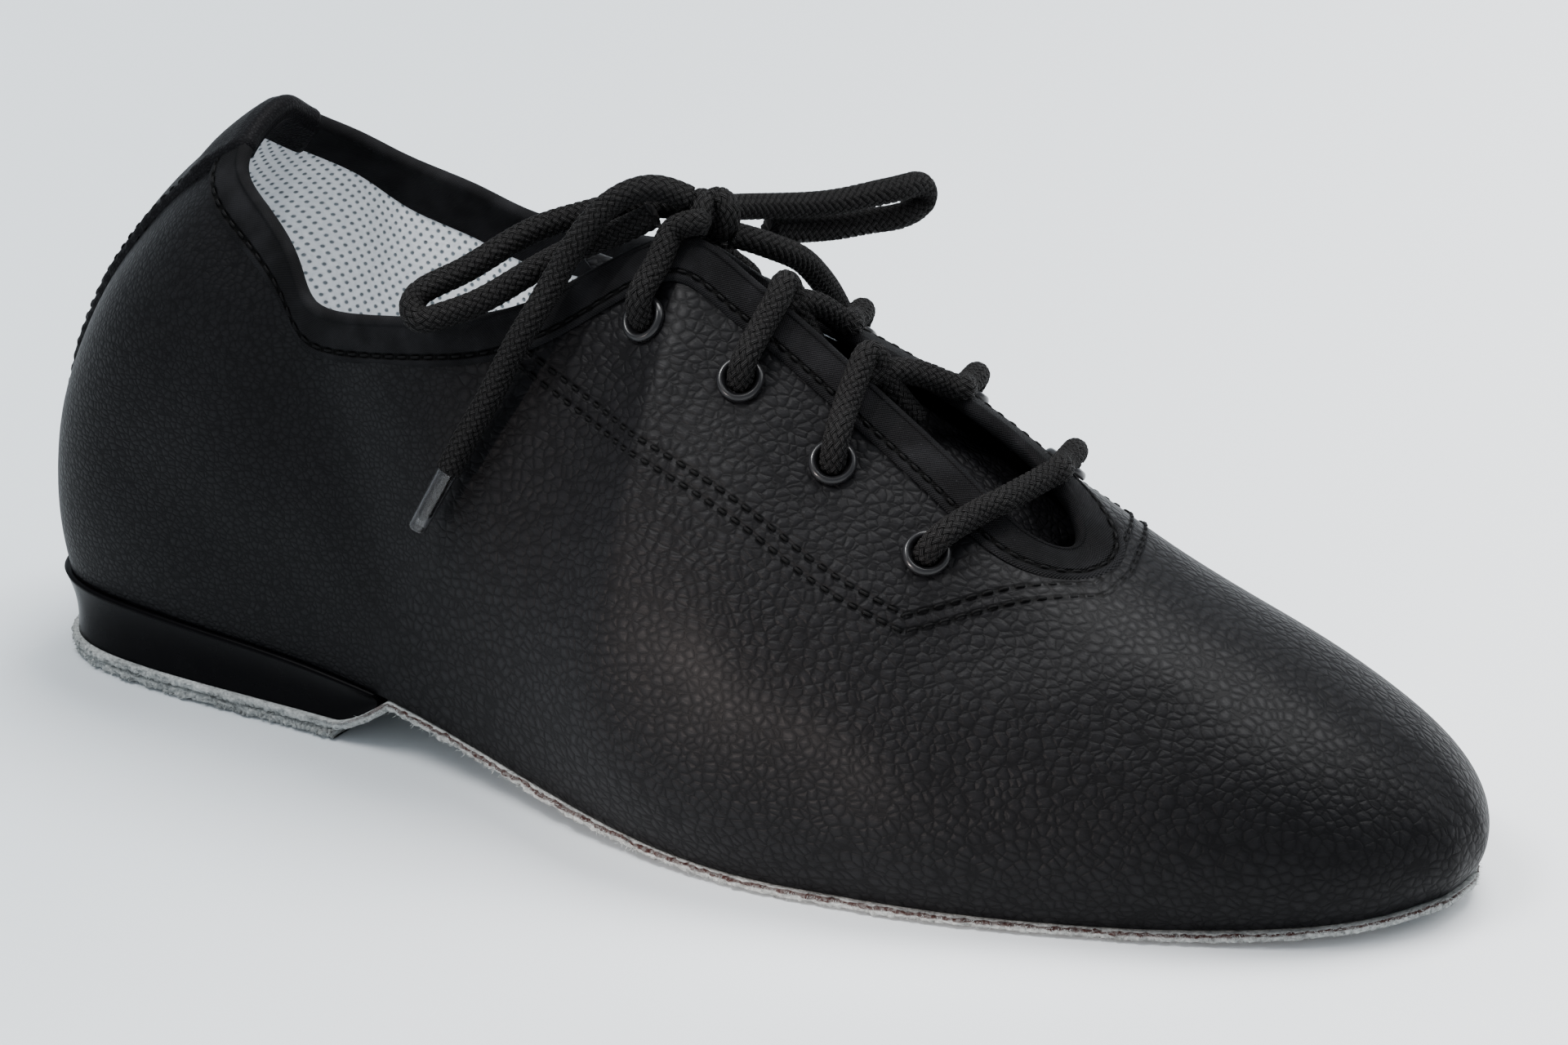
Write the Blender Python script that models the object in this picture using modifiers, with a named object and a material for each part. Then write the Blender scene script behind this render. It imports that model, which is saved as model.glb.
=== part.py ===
"""A soft leather jazz shoe for the right foot, at its real size in metres.

+X points to the toe, +Y to the inner side of the foot and +Z up. The origin is
on the floor, under the middle of the heel's flat bottom. Lengths in the tables
are shares of the named sizes above them. The upper is a ring of strips: each
runs from the edge of the sole up to the edge of the collar or the throat.
"""
import math

import bmesh
import bpy
import numpy as np
from mathutils import Matrix, Vector

# Sizes of the last
SOLE_LENGTH = 0.266      # back of the heel to the tip of the toe
BALL_HALF = 0.040        # half the breadth of the sole at the ball
UPPER_HEIGHT = 0.0845    # top of the heel up to the back of the collar
HEEL_HEIGHT = 0.0134     # how far the heel lifts the foot above the forepart
TOE_SPRING = 0.0028      # how far the toe turns up
HEEL_CENTRE = 0.034      # back of the heel to the middle of its flat bottom
TREAD_START = 0.62       # share of the length where the sole meets the floor
TREAD_END = 0.82         # share of the length where the toe starts to rise

# Thicknesses and clearances
WALL = 0.0015            # leather and lining together
SOLE_THICKNESS = 0.0015  # suede sheet under the whole foot
LIFT_THICKNESS = 0.0016  # second suede layer, under the heel alone
INSOLE_THICKNESS = 0.0012
TONGUE_THICKNESS = 0.0014
STAY_THICKNESS = 0.0009
TAPE = 0.0004            # thickness of the edge binding
GAP = 0.0003             # clearance between pieces
EYESTAY_STEP = 0.0004    # how much the eyestay stands out of the wall

# Heel
BREAST_LOW = 0.252       # share of the length where the breast starts to rise
BREAST_HIGH = 0.300      # share of the length where it meets the upper
LIP = 0.0008             # how far the sole and the heel stand out of the upper

# Trim
BINDING_WIDTH = 0.0072   # edge tape, on each side of the edge
STAY_HALF = 0.011        # half the width of the backstay
TONGUE_BACK = 0.395      # share of the length at the tongue's free end
TONGUE_FRONT = 0.775     # share of the length at its seat under the vamp
TONGUE_DROP = 0.0072     # how far the tongue lies below the throat's edges
TONGUE_TUCK = 0.019      # edge of the throat down to the tongue's own edge

# Lacing
LACE = 0.0043            # diameter
EYELET_INSET = 0.0150    # edge of the throat to the middle of an eyelet
EYELET_ROWS = {          # from the top: share of the length, share of the inset,
    "outer": [           # share of the length by which the lace climbs further on
        (0.4705, 0.86, 0.012), (0.5519, 0.97, -0.006), (0.6179, 0.99, -0.011), (0.6853, 1.05, 0.018),
    ],
    "inner": [
        (0.4620, 0.95, 0.002), (0.5510, 1.02, 0.004), (0.6190, 1.06, 0.010), (0.6880, 1.00, 0.012),
    ],
}
LACE_BEND = 0.005        # edge of the throat to where a lace lies flat on the wall
EYELET_BORE = 0.0024     # radius of the opening
EYELET_BARREL = 0.0028   # outer radius of the tube through the wall
EYELET_FLANGE = 0.0040   # radius of the ring on the outside
EYELET_RISE = 0.0008     # thickness of that ring

COLUMNS = 92             # of faces round the upper
LEVELS = 9               # rows of faces between the sole and the edge

# Half breadths of the sole: share of length, outer side, inner side
OUTLINE = [
    (0.0000, 0.07, 0.07),
    (0.0020, 0.27, 0.25),
    (0.0110, 0.45, 0.43),
    (0.0340, 0.59, 0.57),
    (0.0800, 0.67, 0.65),
    (0.1600, 0.70, 0.68),
    (0.2400, 0.71, 0.66),
    (0.3200, 0.75, 0.61),
    (0.3900, 0.84, 0.59),
    (0.4600, 0.95, 0.61),
    (0.5300, 1.03, 0.69),
    (0.6000, 1.05, 0.81),
    (0.6600, 1.01, 0.90),
    (0.7300, 0.93, 0.95),
    (0.8000, 0.79, 0.94),
    (0.8700, 0.62, 0.85),
    (0.9300, 0.43, 0.72),
    (0.9750, 0.20, 0.53),
    (0.9950, -0.01, 0.33),
    (1.0000, -0.10, 0.22),
]

# Lift of the shank: share of length, share of the heel's height
LIFT = [
    (-0.05, 1.00),
    (0.02, 1.00),
    (0.08, 0.98),
    (0.15, 0.92),
    (0.22, 0.83),
    (0.30, 0.64),
    (0.40, 0.36),
    (0.50, 0.13),
    (0.57, 0.03),
    (TREAD_START, 0.00),
]

# Strips of the upper, heel to toe on the outer side and back on the inner one:
# where the strip leaves the sole (share of length), where it ends (shares of
# length, half breadth and upper height), then its lean in degrees out of
# upright and its fullness as a share of its chord, at the sole and at the edge
OUTER_STRIPS = [
    (0.000, 0.147, 0.075, 1.007, 10, 0.35, 56, 0.41),
    (0.012, 0.154, -0.250, 0.955, 10, 0.35, 52, 0.40),
    (0.055, 0.188, -0.425, 0.901, 10, 0.34, 34, 0.37),
    (0.110, 0.222, -0.525, 0.832, 10, 0.34, 18, 0.34),
    (0.170, 0.242, -0.575, 0.756, 8, 0.32, 4, 0.30),
    (0.240, 0.293, -0.600, 0.783, 8, 0.32, 5, 0.32),
    (0.310, 0.350, -0.575, 0.838, 10, 0.34, 12, 0.34),
    (0.380, 0.402, -0.463, 0.909, 14, 0.34, 25, 0.38),
    (0.440, 0.451, -0.275, 1.023, 18, 0.34, 38, 0.40),
    (0.495, 0.492, -0.163, 1.079, 22, 0.34, 46, 0.42),
    (0.545, 0.530, -0.150, 1.036, 25, 0.34, 50, 0.42),
    (0.600, 0.575, -0.150, 0.962, 28, 0.34, 53, 0.42),
    (0.660, 0.628, -0.150, 0.857, 30, 0.33, 56, 0.42),
    (0.730, 0.684, -0.150, 0.738, 33, 0.32, 62, 0.42),
    (0.830, 0.727, -0.125, 0.630, 34, 0.31, 68, 0.36),
]
TOE_STRIP = (1.000, 0.748, 0.037, 0.590, 40, 0.31, 69, 0.30)
INNER_STRIPS = [
    (0.850, 0.729, 0.163, 0.665, 30, 0.29, 62, 0.32),
    (0.750, 0.684, 0.200, 0.759, 26, 0.30, 58, 0.36),
    (0.680, 0.628, 0.200, 0.835, 24, 0.31, 66, 0.40),
    (0.610, 0.575, 0.175, 0.893, 18, 0.33, 70, 0.43),
    (0.550, 0.530, 0.120, 0.945, 13, 0.34, 68, 0.42),
    (0.500, 0.492, 0.115, 0.992, 10, 0.34, 47, 0.39),
    (0.450, 0.451, 0.250, 0.970, 8, 0.34, 32, 0.37),
    (0.390, 0.402, 0.445, 0.890, 7, 0.34, 20, 0.35),
    (0.320, 0.346, 0.575, 0.830, 7, 0.33, 8, 0.34),
    (0.250, 0.289, 0.600, 0.800, 7, 0.32, 3, 0.32),
    (0.180, 0.241, 0.613, 0.812, 7, 0.32, 3, 0.30),
    (0.115, 0.195, 0.575, 0.838, 8, 0.33, 8, 0.30),
    (0.058, 0.162, 0.475, 0.891, 10, 0.36, 34, 0.38),
    (0.014, 0.147, 0.275, 0.959, 10, 0.35, 50, 0.40),
]

# Lower edge of the eyestay: share of length, depth under the edge in shares of
# the upper's height
EYESTAY = [
    (0.36, 0.03),
    (0.42, 0.15),
    (0.47, 0.26),
    (0.54, 0.37),
    (0.60, 0.36),
    (0.66, 0.35),
    (0.70, 0.36),
    (0.74, 0.26),
    (0.78, 0.12),
]

# Knot, bow and free ends: points by hand in millimetres, x from the back of the
# heel, on a shoe of the length, half breadth and upper height in BOW_DRAWN_ON
BOW_DRAWN_ON = (266.0, 40.0, 84.5)
KNOT = (130.8, -0.8, 97.6)
KNOT_RADII = (0.93, 0.84, 0.84)    # shares of the lace's diameter
LOOP_OUTER = [
    (126.4, -1.3, 98.1), (117.6, -4.1, 98.1), (109.7, -6.5, 95.8), (102.6, -10.5, 93.2),
    (97.7, -16.5, 90.0), (94.2, -21.5, 87.6), (91.4, -25.6, 86.2), (90.4, -29.0, 84.4),
    (92.4, -30.6, 82.6), (95.2, -28.6, 82.8), (99.6, -24.6, 84.4), (106.0, -18.4, 88.6),
    (111.5, -13.4, 92.0), (118.0, -9.6, 95.0), (124.2, -7.2, 98.4),
]
END_OUTER = [
    (129.2, -3.9, 101.1), (124.7, -7.4, 103.4), (119.6, -11.6, 101.6), (116.0, -15.8, 96.8),
    (113.0, -20.2, 89.6), (111.0, -23.8, 84.2), (108.6, -25.7, 79.4), (106.4, -27.2, 74.5),
    (104.1, -28.8, 69.3), (102.0, -29.9, 65.4), (100.0, -31.1, 61.4), (98.0, -32.2, 57.4),
]
LOOP_INNER = [
    (131.6, 3.7, 97.4), (132.8, 10.5, 95.4), (135.3, 18.0, 93.4), (138.4, 25.0, 92.2),
    (141.7, 32.0, 91.9), (143.4, 37.5, 91.4), (143.8, 42.0, 89.9), (143.4, 43.0, 87.4),
    (142.2, 40.0, 85.7), (139.8, 34.5, 85.9), (136.7, 27.0, 86.7), (133.9, 20.0, 88.1),
    (132.4, 13.6, 89.8),
]
END_INNER = [
    (134.2, 0.6, 94.2), (136.4, 3.4, 92.6), (138.2, 7.2, 90.2), (139.0, 12.6, 86.6),
    (138.6, 18.0, 81.6), (137.2, 23.8, 75.6), (137.2, 29.2, 66.4), (139.2, 33.2, 57.0),
    (142.2, 36.3, 47.4), (145.2, 38.4, 40.5),
]
TOP_ENDS = {"outer": (134.5, -5.7, 98.8), "inner": (127.4, 2.8, 92.4)}
AGLET_LENGTH = 0.012
AGLET_RADIUS = 0.0017


def spline(knots, values, at, period=None):
    """Read a smooth cubic through the values; closed where a period is given."""
    knots = np.asarray(knots, float)
    values = np.asarray(values, float).reshape(len(knots), -1)
    at = np.asarray(at, float)
    count = len(knots)
    if period:
        knots = np.append(knots, knots[0] + period)
        values = np.vstack([values, values[:1]])
        at = knots[0] + np.mod(at - knots[0], period)
    else:
        at = np.clip(at, knots[0], knots[-1])
    step = np.diff(knots)
    slope = np.diff(values, axis=0) / step[:, None]
    system = np.eye(count)
    right = np.zeros((count, values.shape[1]))
    for i in range(0 if period else 1, count if period else count - 1):
        before, after = step[i - 1], step[i]
        system[i, i] = 2 * (before + after)
        system[i, i - 1] = before
        system[i, (i + 1) % count] = after
        right[i] = 6 * (slope[i] - slope[i - 1])
    bend = np.linalg.solve(system, right)
    if period:
        bend = np.vstack([bend, bend[:1]])
    k = np.clip(np.searchsorted(knots, at, side="right") - 1, 0, len(step) - 1)
    width = step[k][:, None]
    b = (at - knots[k])[:, None] / width
    a = 1 - b
    curve = (a**3 - a) * bend[k] + (b**3 - b) * bend[k + 1]
    return a * values[k] + b * values[k + 1] + curve * width**2 / 6


def seat(x):
    """Height of the upper's lower edge above the floor, x from the back."""
    share = np.asarray(x, float) / SOLE_LENGTH
    lift = spline([row[0] for row in LIFT], [row[1] for row in LIFT], share.ravel())[:, 0]
    lift = np.where(share.ravel() >= TREAD_START, 0, np.maximum(lift, 0)).reshape(share.shape)
    rise = np.clip((share - TREAD_END) / (1 - TREAD_END), 0, None)
    return GAP + SOLE_THICKNESS + HEEL_HEIGHT * lift + TOE_SPRING * rise**2


def half_breadths(x):
    """Half breadth of the sole on the outer and the inner side."""
    share = np.asarray(x, float) / SOLE_LENGTH
    root = np.sqrt(np.clip([row[0] for row in OUTLINE], 0, 1))
    angle = np.arccos(1 - 2 * root**2)
    at = np.arccos(1 - 2 * np.clip(share, 0, 1))
    return spline(angle, [row[1:] for row in OUTLINE], at) * BALL_HALF


def sole_edge():
    """Closed outline of the sole from the back along the outer side, and its run."""
    x = SOLE_LENGTH * (1 - np.cos(np.linspace(0, math.pi, 400))) / 2
    half = half_breadths(x)
    outer = np.column_stack([x, -half[:, 0]])
    inner = np.column_stack([x, half[:, 1]])[::-1]
    points = np.vstack([outer, inner, outer[:1]])
    steps = np.linalg.norm(np.diff(points, axis=0), axis=1)
    return points, np.concatenate([[0], np.cumsum(steps)])


EDGE_POINTS, EDGE_RUN = sole_edge()
PERIMETER = EDGE_RUN[-1]


def stations():
    """Every strip in order round the shoe: its place on the sole's edge less an even
    pace, the end on the throat or collar, then its leans and fullness."""
    table = []
    half = len(EDGE_POINTS) // 2
    for index, row in enumerate(OUTER_STRIPS + [TOE_STRIP] + INNER_STRIPS):
        x = row[0] * SOLE_LENGTH
        if index == 0:
            run = (EDGE_RUN[-2] - PERIMETER) / 2
        elif row is TOE_STRIP:
            run = (EDGE_RUN[half - 1] + EDGE_RUN[half]) / 2
        elif index < len(OUTER_STRIPS):
            run = np.interp(x, EDGE_POINTS[:half, 0], EDGE_RUN[:half])
        else:
            run = np.interp(-x, -EDGE_POINTS[half:-1, 0], EDGE_RUN[half:-1])
        pace = PERIMETER * index / (len(OUTER_STRIPS) + 1 + len(INNER_STRIPS))
        edge_x = row[1] * SOLE_LENGTH
        edge_z = seat(edge_x) + row[3] * UPPER_HEIGHT
        table.append((run - pace, edge_x, row[2] * BALL_HALF, edge_z) + row[4:])
    return np.array(table, float)


STATIONS = stations()
ROUND = len(STATIONS)
TOE_STATION = len(OUTER_STRIPS)


def foot_line(u, row):
    """Points on the sole's edge at the station numbers, level with the floor."""
    run = np.mod(row[:, 0] + PERIMETER * u / ROUND, PERIMETER)
    return np.column_stack([np.interp(run, EDGE_RUN, EDGE_POINTS[:, k]) for k in (0, 1)])


def outward(curve):
    """Level unit vectors pointing out of a closed curve of (x, y) points."""
    along = np.roll(curve, -4, 0) - np.roll(curve, 4, 0)
    normal = np.column_stack([along[:, 1], -along[:, 0], np.zeros(len(curve))])
    return normal / np.linalg.norm(normal, axis=1)[:, None]


FINE = 40
FINE_AT = np.arange(ROUND * FINE) / FINE
FINE_ROWS = spline(range(ROUND), STATIONS, FINE_AT, ROUND)
FOOT_OUT = outward(foot_line(FINE_AT, FINE_ROWS))
EDGE_OUT = outward(FINE_ROWS[:, 1:3])


def strips(u):
    """Four control points of the strip at each station number in u."""
    u = np.mod(np.asarray(u, float), ROUND)
    row = spline(range(ROUND), STATIONS, u, ROUND)
    near = np.round(u * FINE).astype(int) % len(FINE_AT)
    foot = foot_line(u, row)
    foot = np.column_stack([foot, seat(foot[:, 0])])
    edge = row[:, 1:4]
    chord = np.linalg.norm(edge - foot, axis=1)[:, None]
    lean = np.radians(row[:, (4, 6)])
    up = np.array([0.0, 0.0, 1.0])
    rise = FOOT_OUT[near] * np.sin(lean[:, :1]) + up * np.cos(lean[:, :1])
    fall = EDGE_OUT[near] * np.sin(lean[:, 1:]) - up * np.cos(lean[:, 1:])
    return foot, foot + chord * row[:, 5:6] * rise, edge + chord * row[:, 7:8] * fall, edge


def even_columns(count):
    """Station numbers of columns spread evenly over the sole's and the top's edge."""
    at = np.append(FINE_AT, ROUND)
    foot, _, _, edge = strips(at)
    steps = np.linalg.norm(np.diff(foot, axis=0), axis=1) + np.linalg.norm(np.diff(edge, axis=0), axis=1)
    run = np.concatenate([[0], np.cumsum(steps)])
    return np.interp(np.arange(count) * run[-1] / count, run, at)


def skin(u, t, out=0.0):
    """Points on the last's form: station number, share of the way up, offset."""
    u, t = np.broadcast_arrays(np.asarray(u, float), np.asarray(t, float))
    shape = u.shape

    def place(at_u, at_t):
        a, b, c, d = strips(at_u.ravel())
        s = at_t.reshape(-1, 1)
        return (1 - s)**3 * a + 3 * (1 - s)**2 * s * b + 3 * (1 - s) * s * s * c + s**3 * d

    points = place(u, t)
    side = 1 / FINE
    down, upper = np.clip(t - 0.02, 0, 0.96), np.clip(t + 0.02, 0.04, 1)
    across = place(u + side, t) - place(u - side, t)
    climb = place(u, upper) - place(u, down)
    normal = np.cross(across, climb)
    normal /= np.linalg.norm(normal, axis=1)[:, None]
    out = np.broadcast_to(np.asarray(out, float), shape).reshape(-1, 1)
    return (points + normal * out).reshape(shape + (3,))


def level_below(u, depth):
    """Share of the way up at a depth under the edge, measured on the strip."""
    u = np.asarray(u, float)
    steps = np.linspace(1, 0, 41)
    grid = skin(u[None, :], steps[:, None])
    run = np.vstack([np.zeros(len(u)), np.cumsum(np.linalg.norm(np.diff(grid, axis=0), axis=2), 0)])
    return np.array([np.interp(depth, run[:, i], steps) for i in range(len(u))])


def station_at(share, inner):
    """Station number whose strip ends at a share of the length, in the throat."""
    first, last = (TOE_STATION, ROUND - 6) if inner else (8, TOE_STATION)
    at = np.linspace(first, last, 400)
    x = spline(range(ROUND), STATIONS, at, ROUND)[:, 1] / SOLE_LENGTH
    order = np.argsort(x)
    return float(np.interp(share, x[order], at[order]))


def eyestay_mask(u, t):
    """1 inside the eyestay and 0 outside it, with a soft edge."""
    points = skin(u, t)
    share = points[..., 0] / SOLE_LENGTH
    edge = skin(u, np.ones_like(t))
    depth = np.linalg.norm(edge - points, axis=2) / UPPER_HEIGHT
    limit = np.interp(share, [row[0] for row in EYESTAY], [row[1] for row in EYESTAY], left=0, right=0)
    return np.clip((limit - depth) * 20 + 0.5, 0, 1) * (limit > 0)


def shifted(points):
    """Move points measured from the back of the heel to the shoe's origin."""
    return np.asarray(points, float) - np.array([HEEL_CENTRE, 0, 0])


def finish(name, colour, roughness):
    """A plain material of one colour."""
    material = bpy.data.materials.new(name)
    material.use_nodes = True
    shader = material.node_tree.nodes["Principled BSDF"]
    shader.inputs["Base Color"].default_value = (*colour, 1)
    shader.inputs["Roughness"].default_value = roughness
    material.diffuse_color = (*colour, 1)
    return material


def new_object(name, data, collection, material=None):
    """Link a new object with its material."""
    piece = bpy.data.objects.new(name, data)
    collection.objects.link(piece)
    if material:
        data.materials.append(material)
    return piece


def mesh_object(name, points, faces, collection, material=None):
    """A smooth-shaded mesh from points and faces, turned outwards."""
    mesh = bpy.data.meshes.new(name)
    mesh.from_pydata([tuple(p) for p in np.reshape(points, (-1, 3))], [], faces)
    build = bmesh.new()
    build.from_mesh(mesh)
    bmesh.ops.triangulate(build, faces=build.faces, quad_method="FIXED")
    bmesh.ops.recalc_face_normals(build, faces=build.faces)
    build.to_mesh(mesh)
    build.free()
    mesh.shade_smooth()
    mesh.set_sharp_from_angle(angle=math.radians(40))
    return new_object(name, mesh, collection, material)


def grid_faces(rows, columns, wrap_rows=False, wrap_columns=False):
    """Quads of a grid of points stored row by row."""
    faces = []
    for i in range(rows if wrap_rows else rows - 1):
        for j in range(columns if wrap_columns else columns - 1):
            a = i * columns + j
            b = i * columns + (j + 1) % columns
            c = ((i + 1) % rows) * columns + (j + 1) % columns
            d = ((i + 1) % rows) * columns + j
            faces.append((a, b, c, d))
    return faces


def slab(name, low, high, collection, material):
    """A closed solid between two grids of points of the same shape."""
    rows, columns = low.shape[:2]
    size = rows * columns
    faces = grid_faces(rows, columns)
    faces += [tuple(size + k for k in reversed(face)) for face in grid_faces(rows, columns)]
    rim = [j for j in range(columns)]
    rim += [i * columns + columns - 1 for i in range(1, rows)]
    rim += [(rows - 1) * columns + j for j in range(columns - 2, -1, -1)]
    rim += [i * columns for i in range(rows - 2, 0, -1)]
    for a, b in zip(rim, rim[1:] + rim[:1]):
        faces.append((a, size + a, size + b, b))
    points = np.concatenate([low.reshape(-1, 3), high.reshape(-1, 3)])
    return mesh_object(name, shifted(points), faces, collection, material)


def foot_grid(x, inset):
    """Level grid of points inside the sole's outline, in rows across it at each x."""
    reach = max(inset, 0) * 2.4
    half = np.min([half_breadths(x + step) for step in (-reach, 0, reach)], 0) - inset
    across = np.array([0, 0.14, 0.36, 0.64, 0.86, 1])
    y = -half[:, :1] + half.sum(1)[:, None] * across
    return np.repeat(x[:, None], len(across), 1), y


def sole_top(x):
    """Upper side of the sole sheet: flat under the heel, then up the breast."""
    share = x / SOLE_LENGTH
    under_heel = LIFT_THICKNESS + GAP + SOLE_THICKNESS
    free = seat(x) - GAP
    climb = np.clip((share - BREAST_LOW) / (BREAST_HIGH - BREAST_LOW), 0, 1)
    return under_heel + (free - under_heel) * climb**1.6


def make_outsole(collection, material):
    """Suede sheet: forepart, shank, up the heel's breast and under the heel."""
    forepart = np.linspace(BREAST_HIGH, TREAD_START, 9)[1:]
    toe = TREAD_START + (1 - TREAD_START) * np.sin(np.linspace(0, math.pi / 2, 12))[1:]
    back = BREAST_LOW * (1 - np.cos(np.linspace(0, math.pi / 2, 9)))
    breast = np.linspace(BREAST_LOW, BREAST_HIGH, 6)[1:]
    share = np.concatenate([back, breast, forepart, toe])
    x, y = foot_grid(share * SOLE_LENGTH, -LIP)
    top = sole_top(x)
    slope = np.gradient(top[:, 0], x[:, 0])[:, None]
    drop = SOLE_THICKNESS * np.sqrt(1 + np.clip(slope, -2, 2)**2)
    flat = (share[:, None] < BREAST_LOW) | ((share[:, None] > TREAD_START) & (share[:, None] < TREAD_END))
    drop = np.where(flat, SOLE_THICKNESS, drop)
    ends = (x - SOLE_LENGTH / 2) / (SOLE_LENGTH / 2) * LIP
    low = np.stack([x + ends, y, np.maximum(top - drop, 0)], 2)
    high = np.stack([x + ends, y, top], 2)
    return slab("outsole", low, high, collection, material)


def make_heel(collection, material):
    """Rubber block between the sheet and the upper, thinning to its breast."""
    front = BREAST_HIGH - 0.012
    share = np.concatenate([BREAST_LOW * (1 - np.cos(np.linspace(0, math.pi / 2, 9))),
                            np.linspace(BREAST_LOW, front, 5)[1:]])
    x, y = foot_grid(share * SOLE_LENGTH, -LIP)
    _, y_low = foot_grid(share * SOLE_LENGTH, 0)
    back = LIP * (1 - share[:, None] / BREAST_LOW).clip(0)
    low = np.stack([x, y_low, sole_top(x) + GAP], 2)
    high = np.stack([x - back, y, seat(x) - GAP], 2)
    return slab("heel", low, high, collection, material)


def make_heel_lift(collection, material):
    """Lower suede layer, flat on the floor under the heel."""
    share = np.concatenate([[0.012], BREAST_LOW * (1 - np.cos(np.linspace(0.35, math.pi / 2, 8)))])
    x, y = foot_grid(share * SOLE_LENGTH, 0)
    low = np.stack([x, y, np.zeros_like(x)], 2)
    high = np.stack([x, y, np.full_like(x, LIFT_THICKNESS)], 2)
    return slab("heel_lift", low, high, collection, material)


def make_insole(collection, material):
    """Thin sock sheet lying inside the upper on the sole."""
    inset = WALL + 3 * GAP
    along = (1 - np.cos(np.linspace(0, math.pi, 17))) / 2
    x, y = foot_grid(2.2 * inset + (SOLE_LENGTH - 6.6 * inset) * along, inset)
    low = np.stack([x, y, seat(x)], 2)
    high = np.stack([x, y, seat(x) + INSOLE_THICKNESS], 2)
    return slab("insole", low, high, collection, material)


def eyelet_seats():
    """Name, middle and outward direction of each eyelet, top pair first, and the
    station where its lace climbs over the edge."""
    seats = []
    for side, rows in EYELET_ROWS.items():
        for number, (share, inset, ahead) in enumerate(rows, 1):
            u = station_at(share, side == "inner")
            t = float(level_below([u], EYELET_INSET * inset)[0])
            middle = skin([[u]], [[t]])[0, 0]
            raised = skin([[u]], [[t]], 0.001)[0, 0]
            axis = (raised - middle) / np.linalg.norm(raised - middle)
            over = station_at(share + ahead, side == "inner")
            seats.append((f"eyelet_{side}_{number}", middle, axis, over))
    return seats


def facing(middle, axis):
    """Matrix that stands a piece made round Z on the wall."""
    turn = Vector(axis).to_track_quat("Z", "Y").to_matrix().to_4x4()
    return Matrix.Translation(Vector(shifted(middle))) @ turn


def make_upper(collection, cutters, material):
    """One hollow wall, open at collar, throat and underneath, with its eyelet holes."""
    columns = COLUMNS
    u = even_columns(columns)
    t = np.linspace(0, level_below(u, BINDING_WIDTH), LEVELS)
    t = np.vstack([t, np.ones(columns)])
    u = np.broadcast_to(u, t.shape)
    points = skin(u, t, EYESTAY_STEP * eyestay_mask(u, t))
    upper = mesh_object("upper", shifted(points.reshape(-1, 3)),
                        grid_faces(LEVELS + 1, columns, wrap_columns=True), collection, material)
    wall = upper.modifiers.new("wall", "SOLIDIFY")
    wall.thickness = WALL
    wall.offset = -1
    for name, middle, axis, _ in eyelet_seats():
        build = bmesh.new()
        bmesh.ops.create_cone(build, cap_ends=True, segments=12, radius1=EYELET_BARREL + GAP,
                              radius2=EYELET_BARREL + GAP, depth=4 * WALL)
        mesh = bpy.data.meshes.new(name + "_hole")
        build.to_mesh(mesh)
        build.free()
        cutter = new_object(name + "_hole", mesh, cutters)
        cutter.matrix_world = facing(middle, axis)
        cutter.hide_render = True
        cutter.display_type = "WIRE"
    holes = upper.modifiers.new("eyelet_holes", "BOOLEAN")
    holes.operation = "DIFFERENCE"
    holes.operand_type = "COLLECTION"
    holes.collection = cutters
    holes.solver = "EXACT"
    return upper


def make_binding(collection, material):
    """Tape folded over the whole edge of the collar and the throat."""
    columns = COLUMNS
    u = even_columns(columns)
    inside = -WALL - 1.5 * GAP
    outside = EYESTAY_STEP + 1.2 * GAP
    foot = level_below(u, BINDING_WIDTH)
    mid = level_below(u, BINDING_WIDTH / 2)
    edge = np.ones_like(u)
    rim = skin(u, edge)
    away = rim - skin(u, level_below(u, 0.002))
    away /= np.linalg.norm(away, axis=1)[:, None]
    rows = [
        skin(u, foot, outside + TAPE),
        skin(u, mid, outside + TAPE),
        skin(u, edge, outside + TAPE) + away * (GAP + TAPE / 2),
        skin(u, edge, inside - TAPE) + away * (GAP + TAPE),
        skin(u, foot, inside - TAPE),
        skin(u, foot, inside),
        skin(u, edge, inside) + away * GAP,
        skin(u, edge, outside) + away * GAP,
        skin(u, foot, outside),
    ]
    points = shifted(np.array(rows).reshape(-1, 3))
    faces = grid_faces(len(rows), columns, True, True)
    # strips that run down are split the same way as the wall's, so that the two keep apart
    downward = (3, 7)
    faces = [face[1:] + face[:1] if k // columns in downward else face for k, face in enumerate(faces)]
    return mesh_object("collar_binding", points, faces, collection, material)


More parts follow.
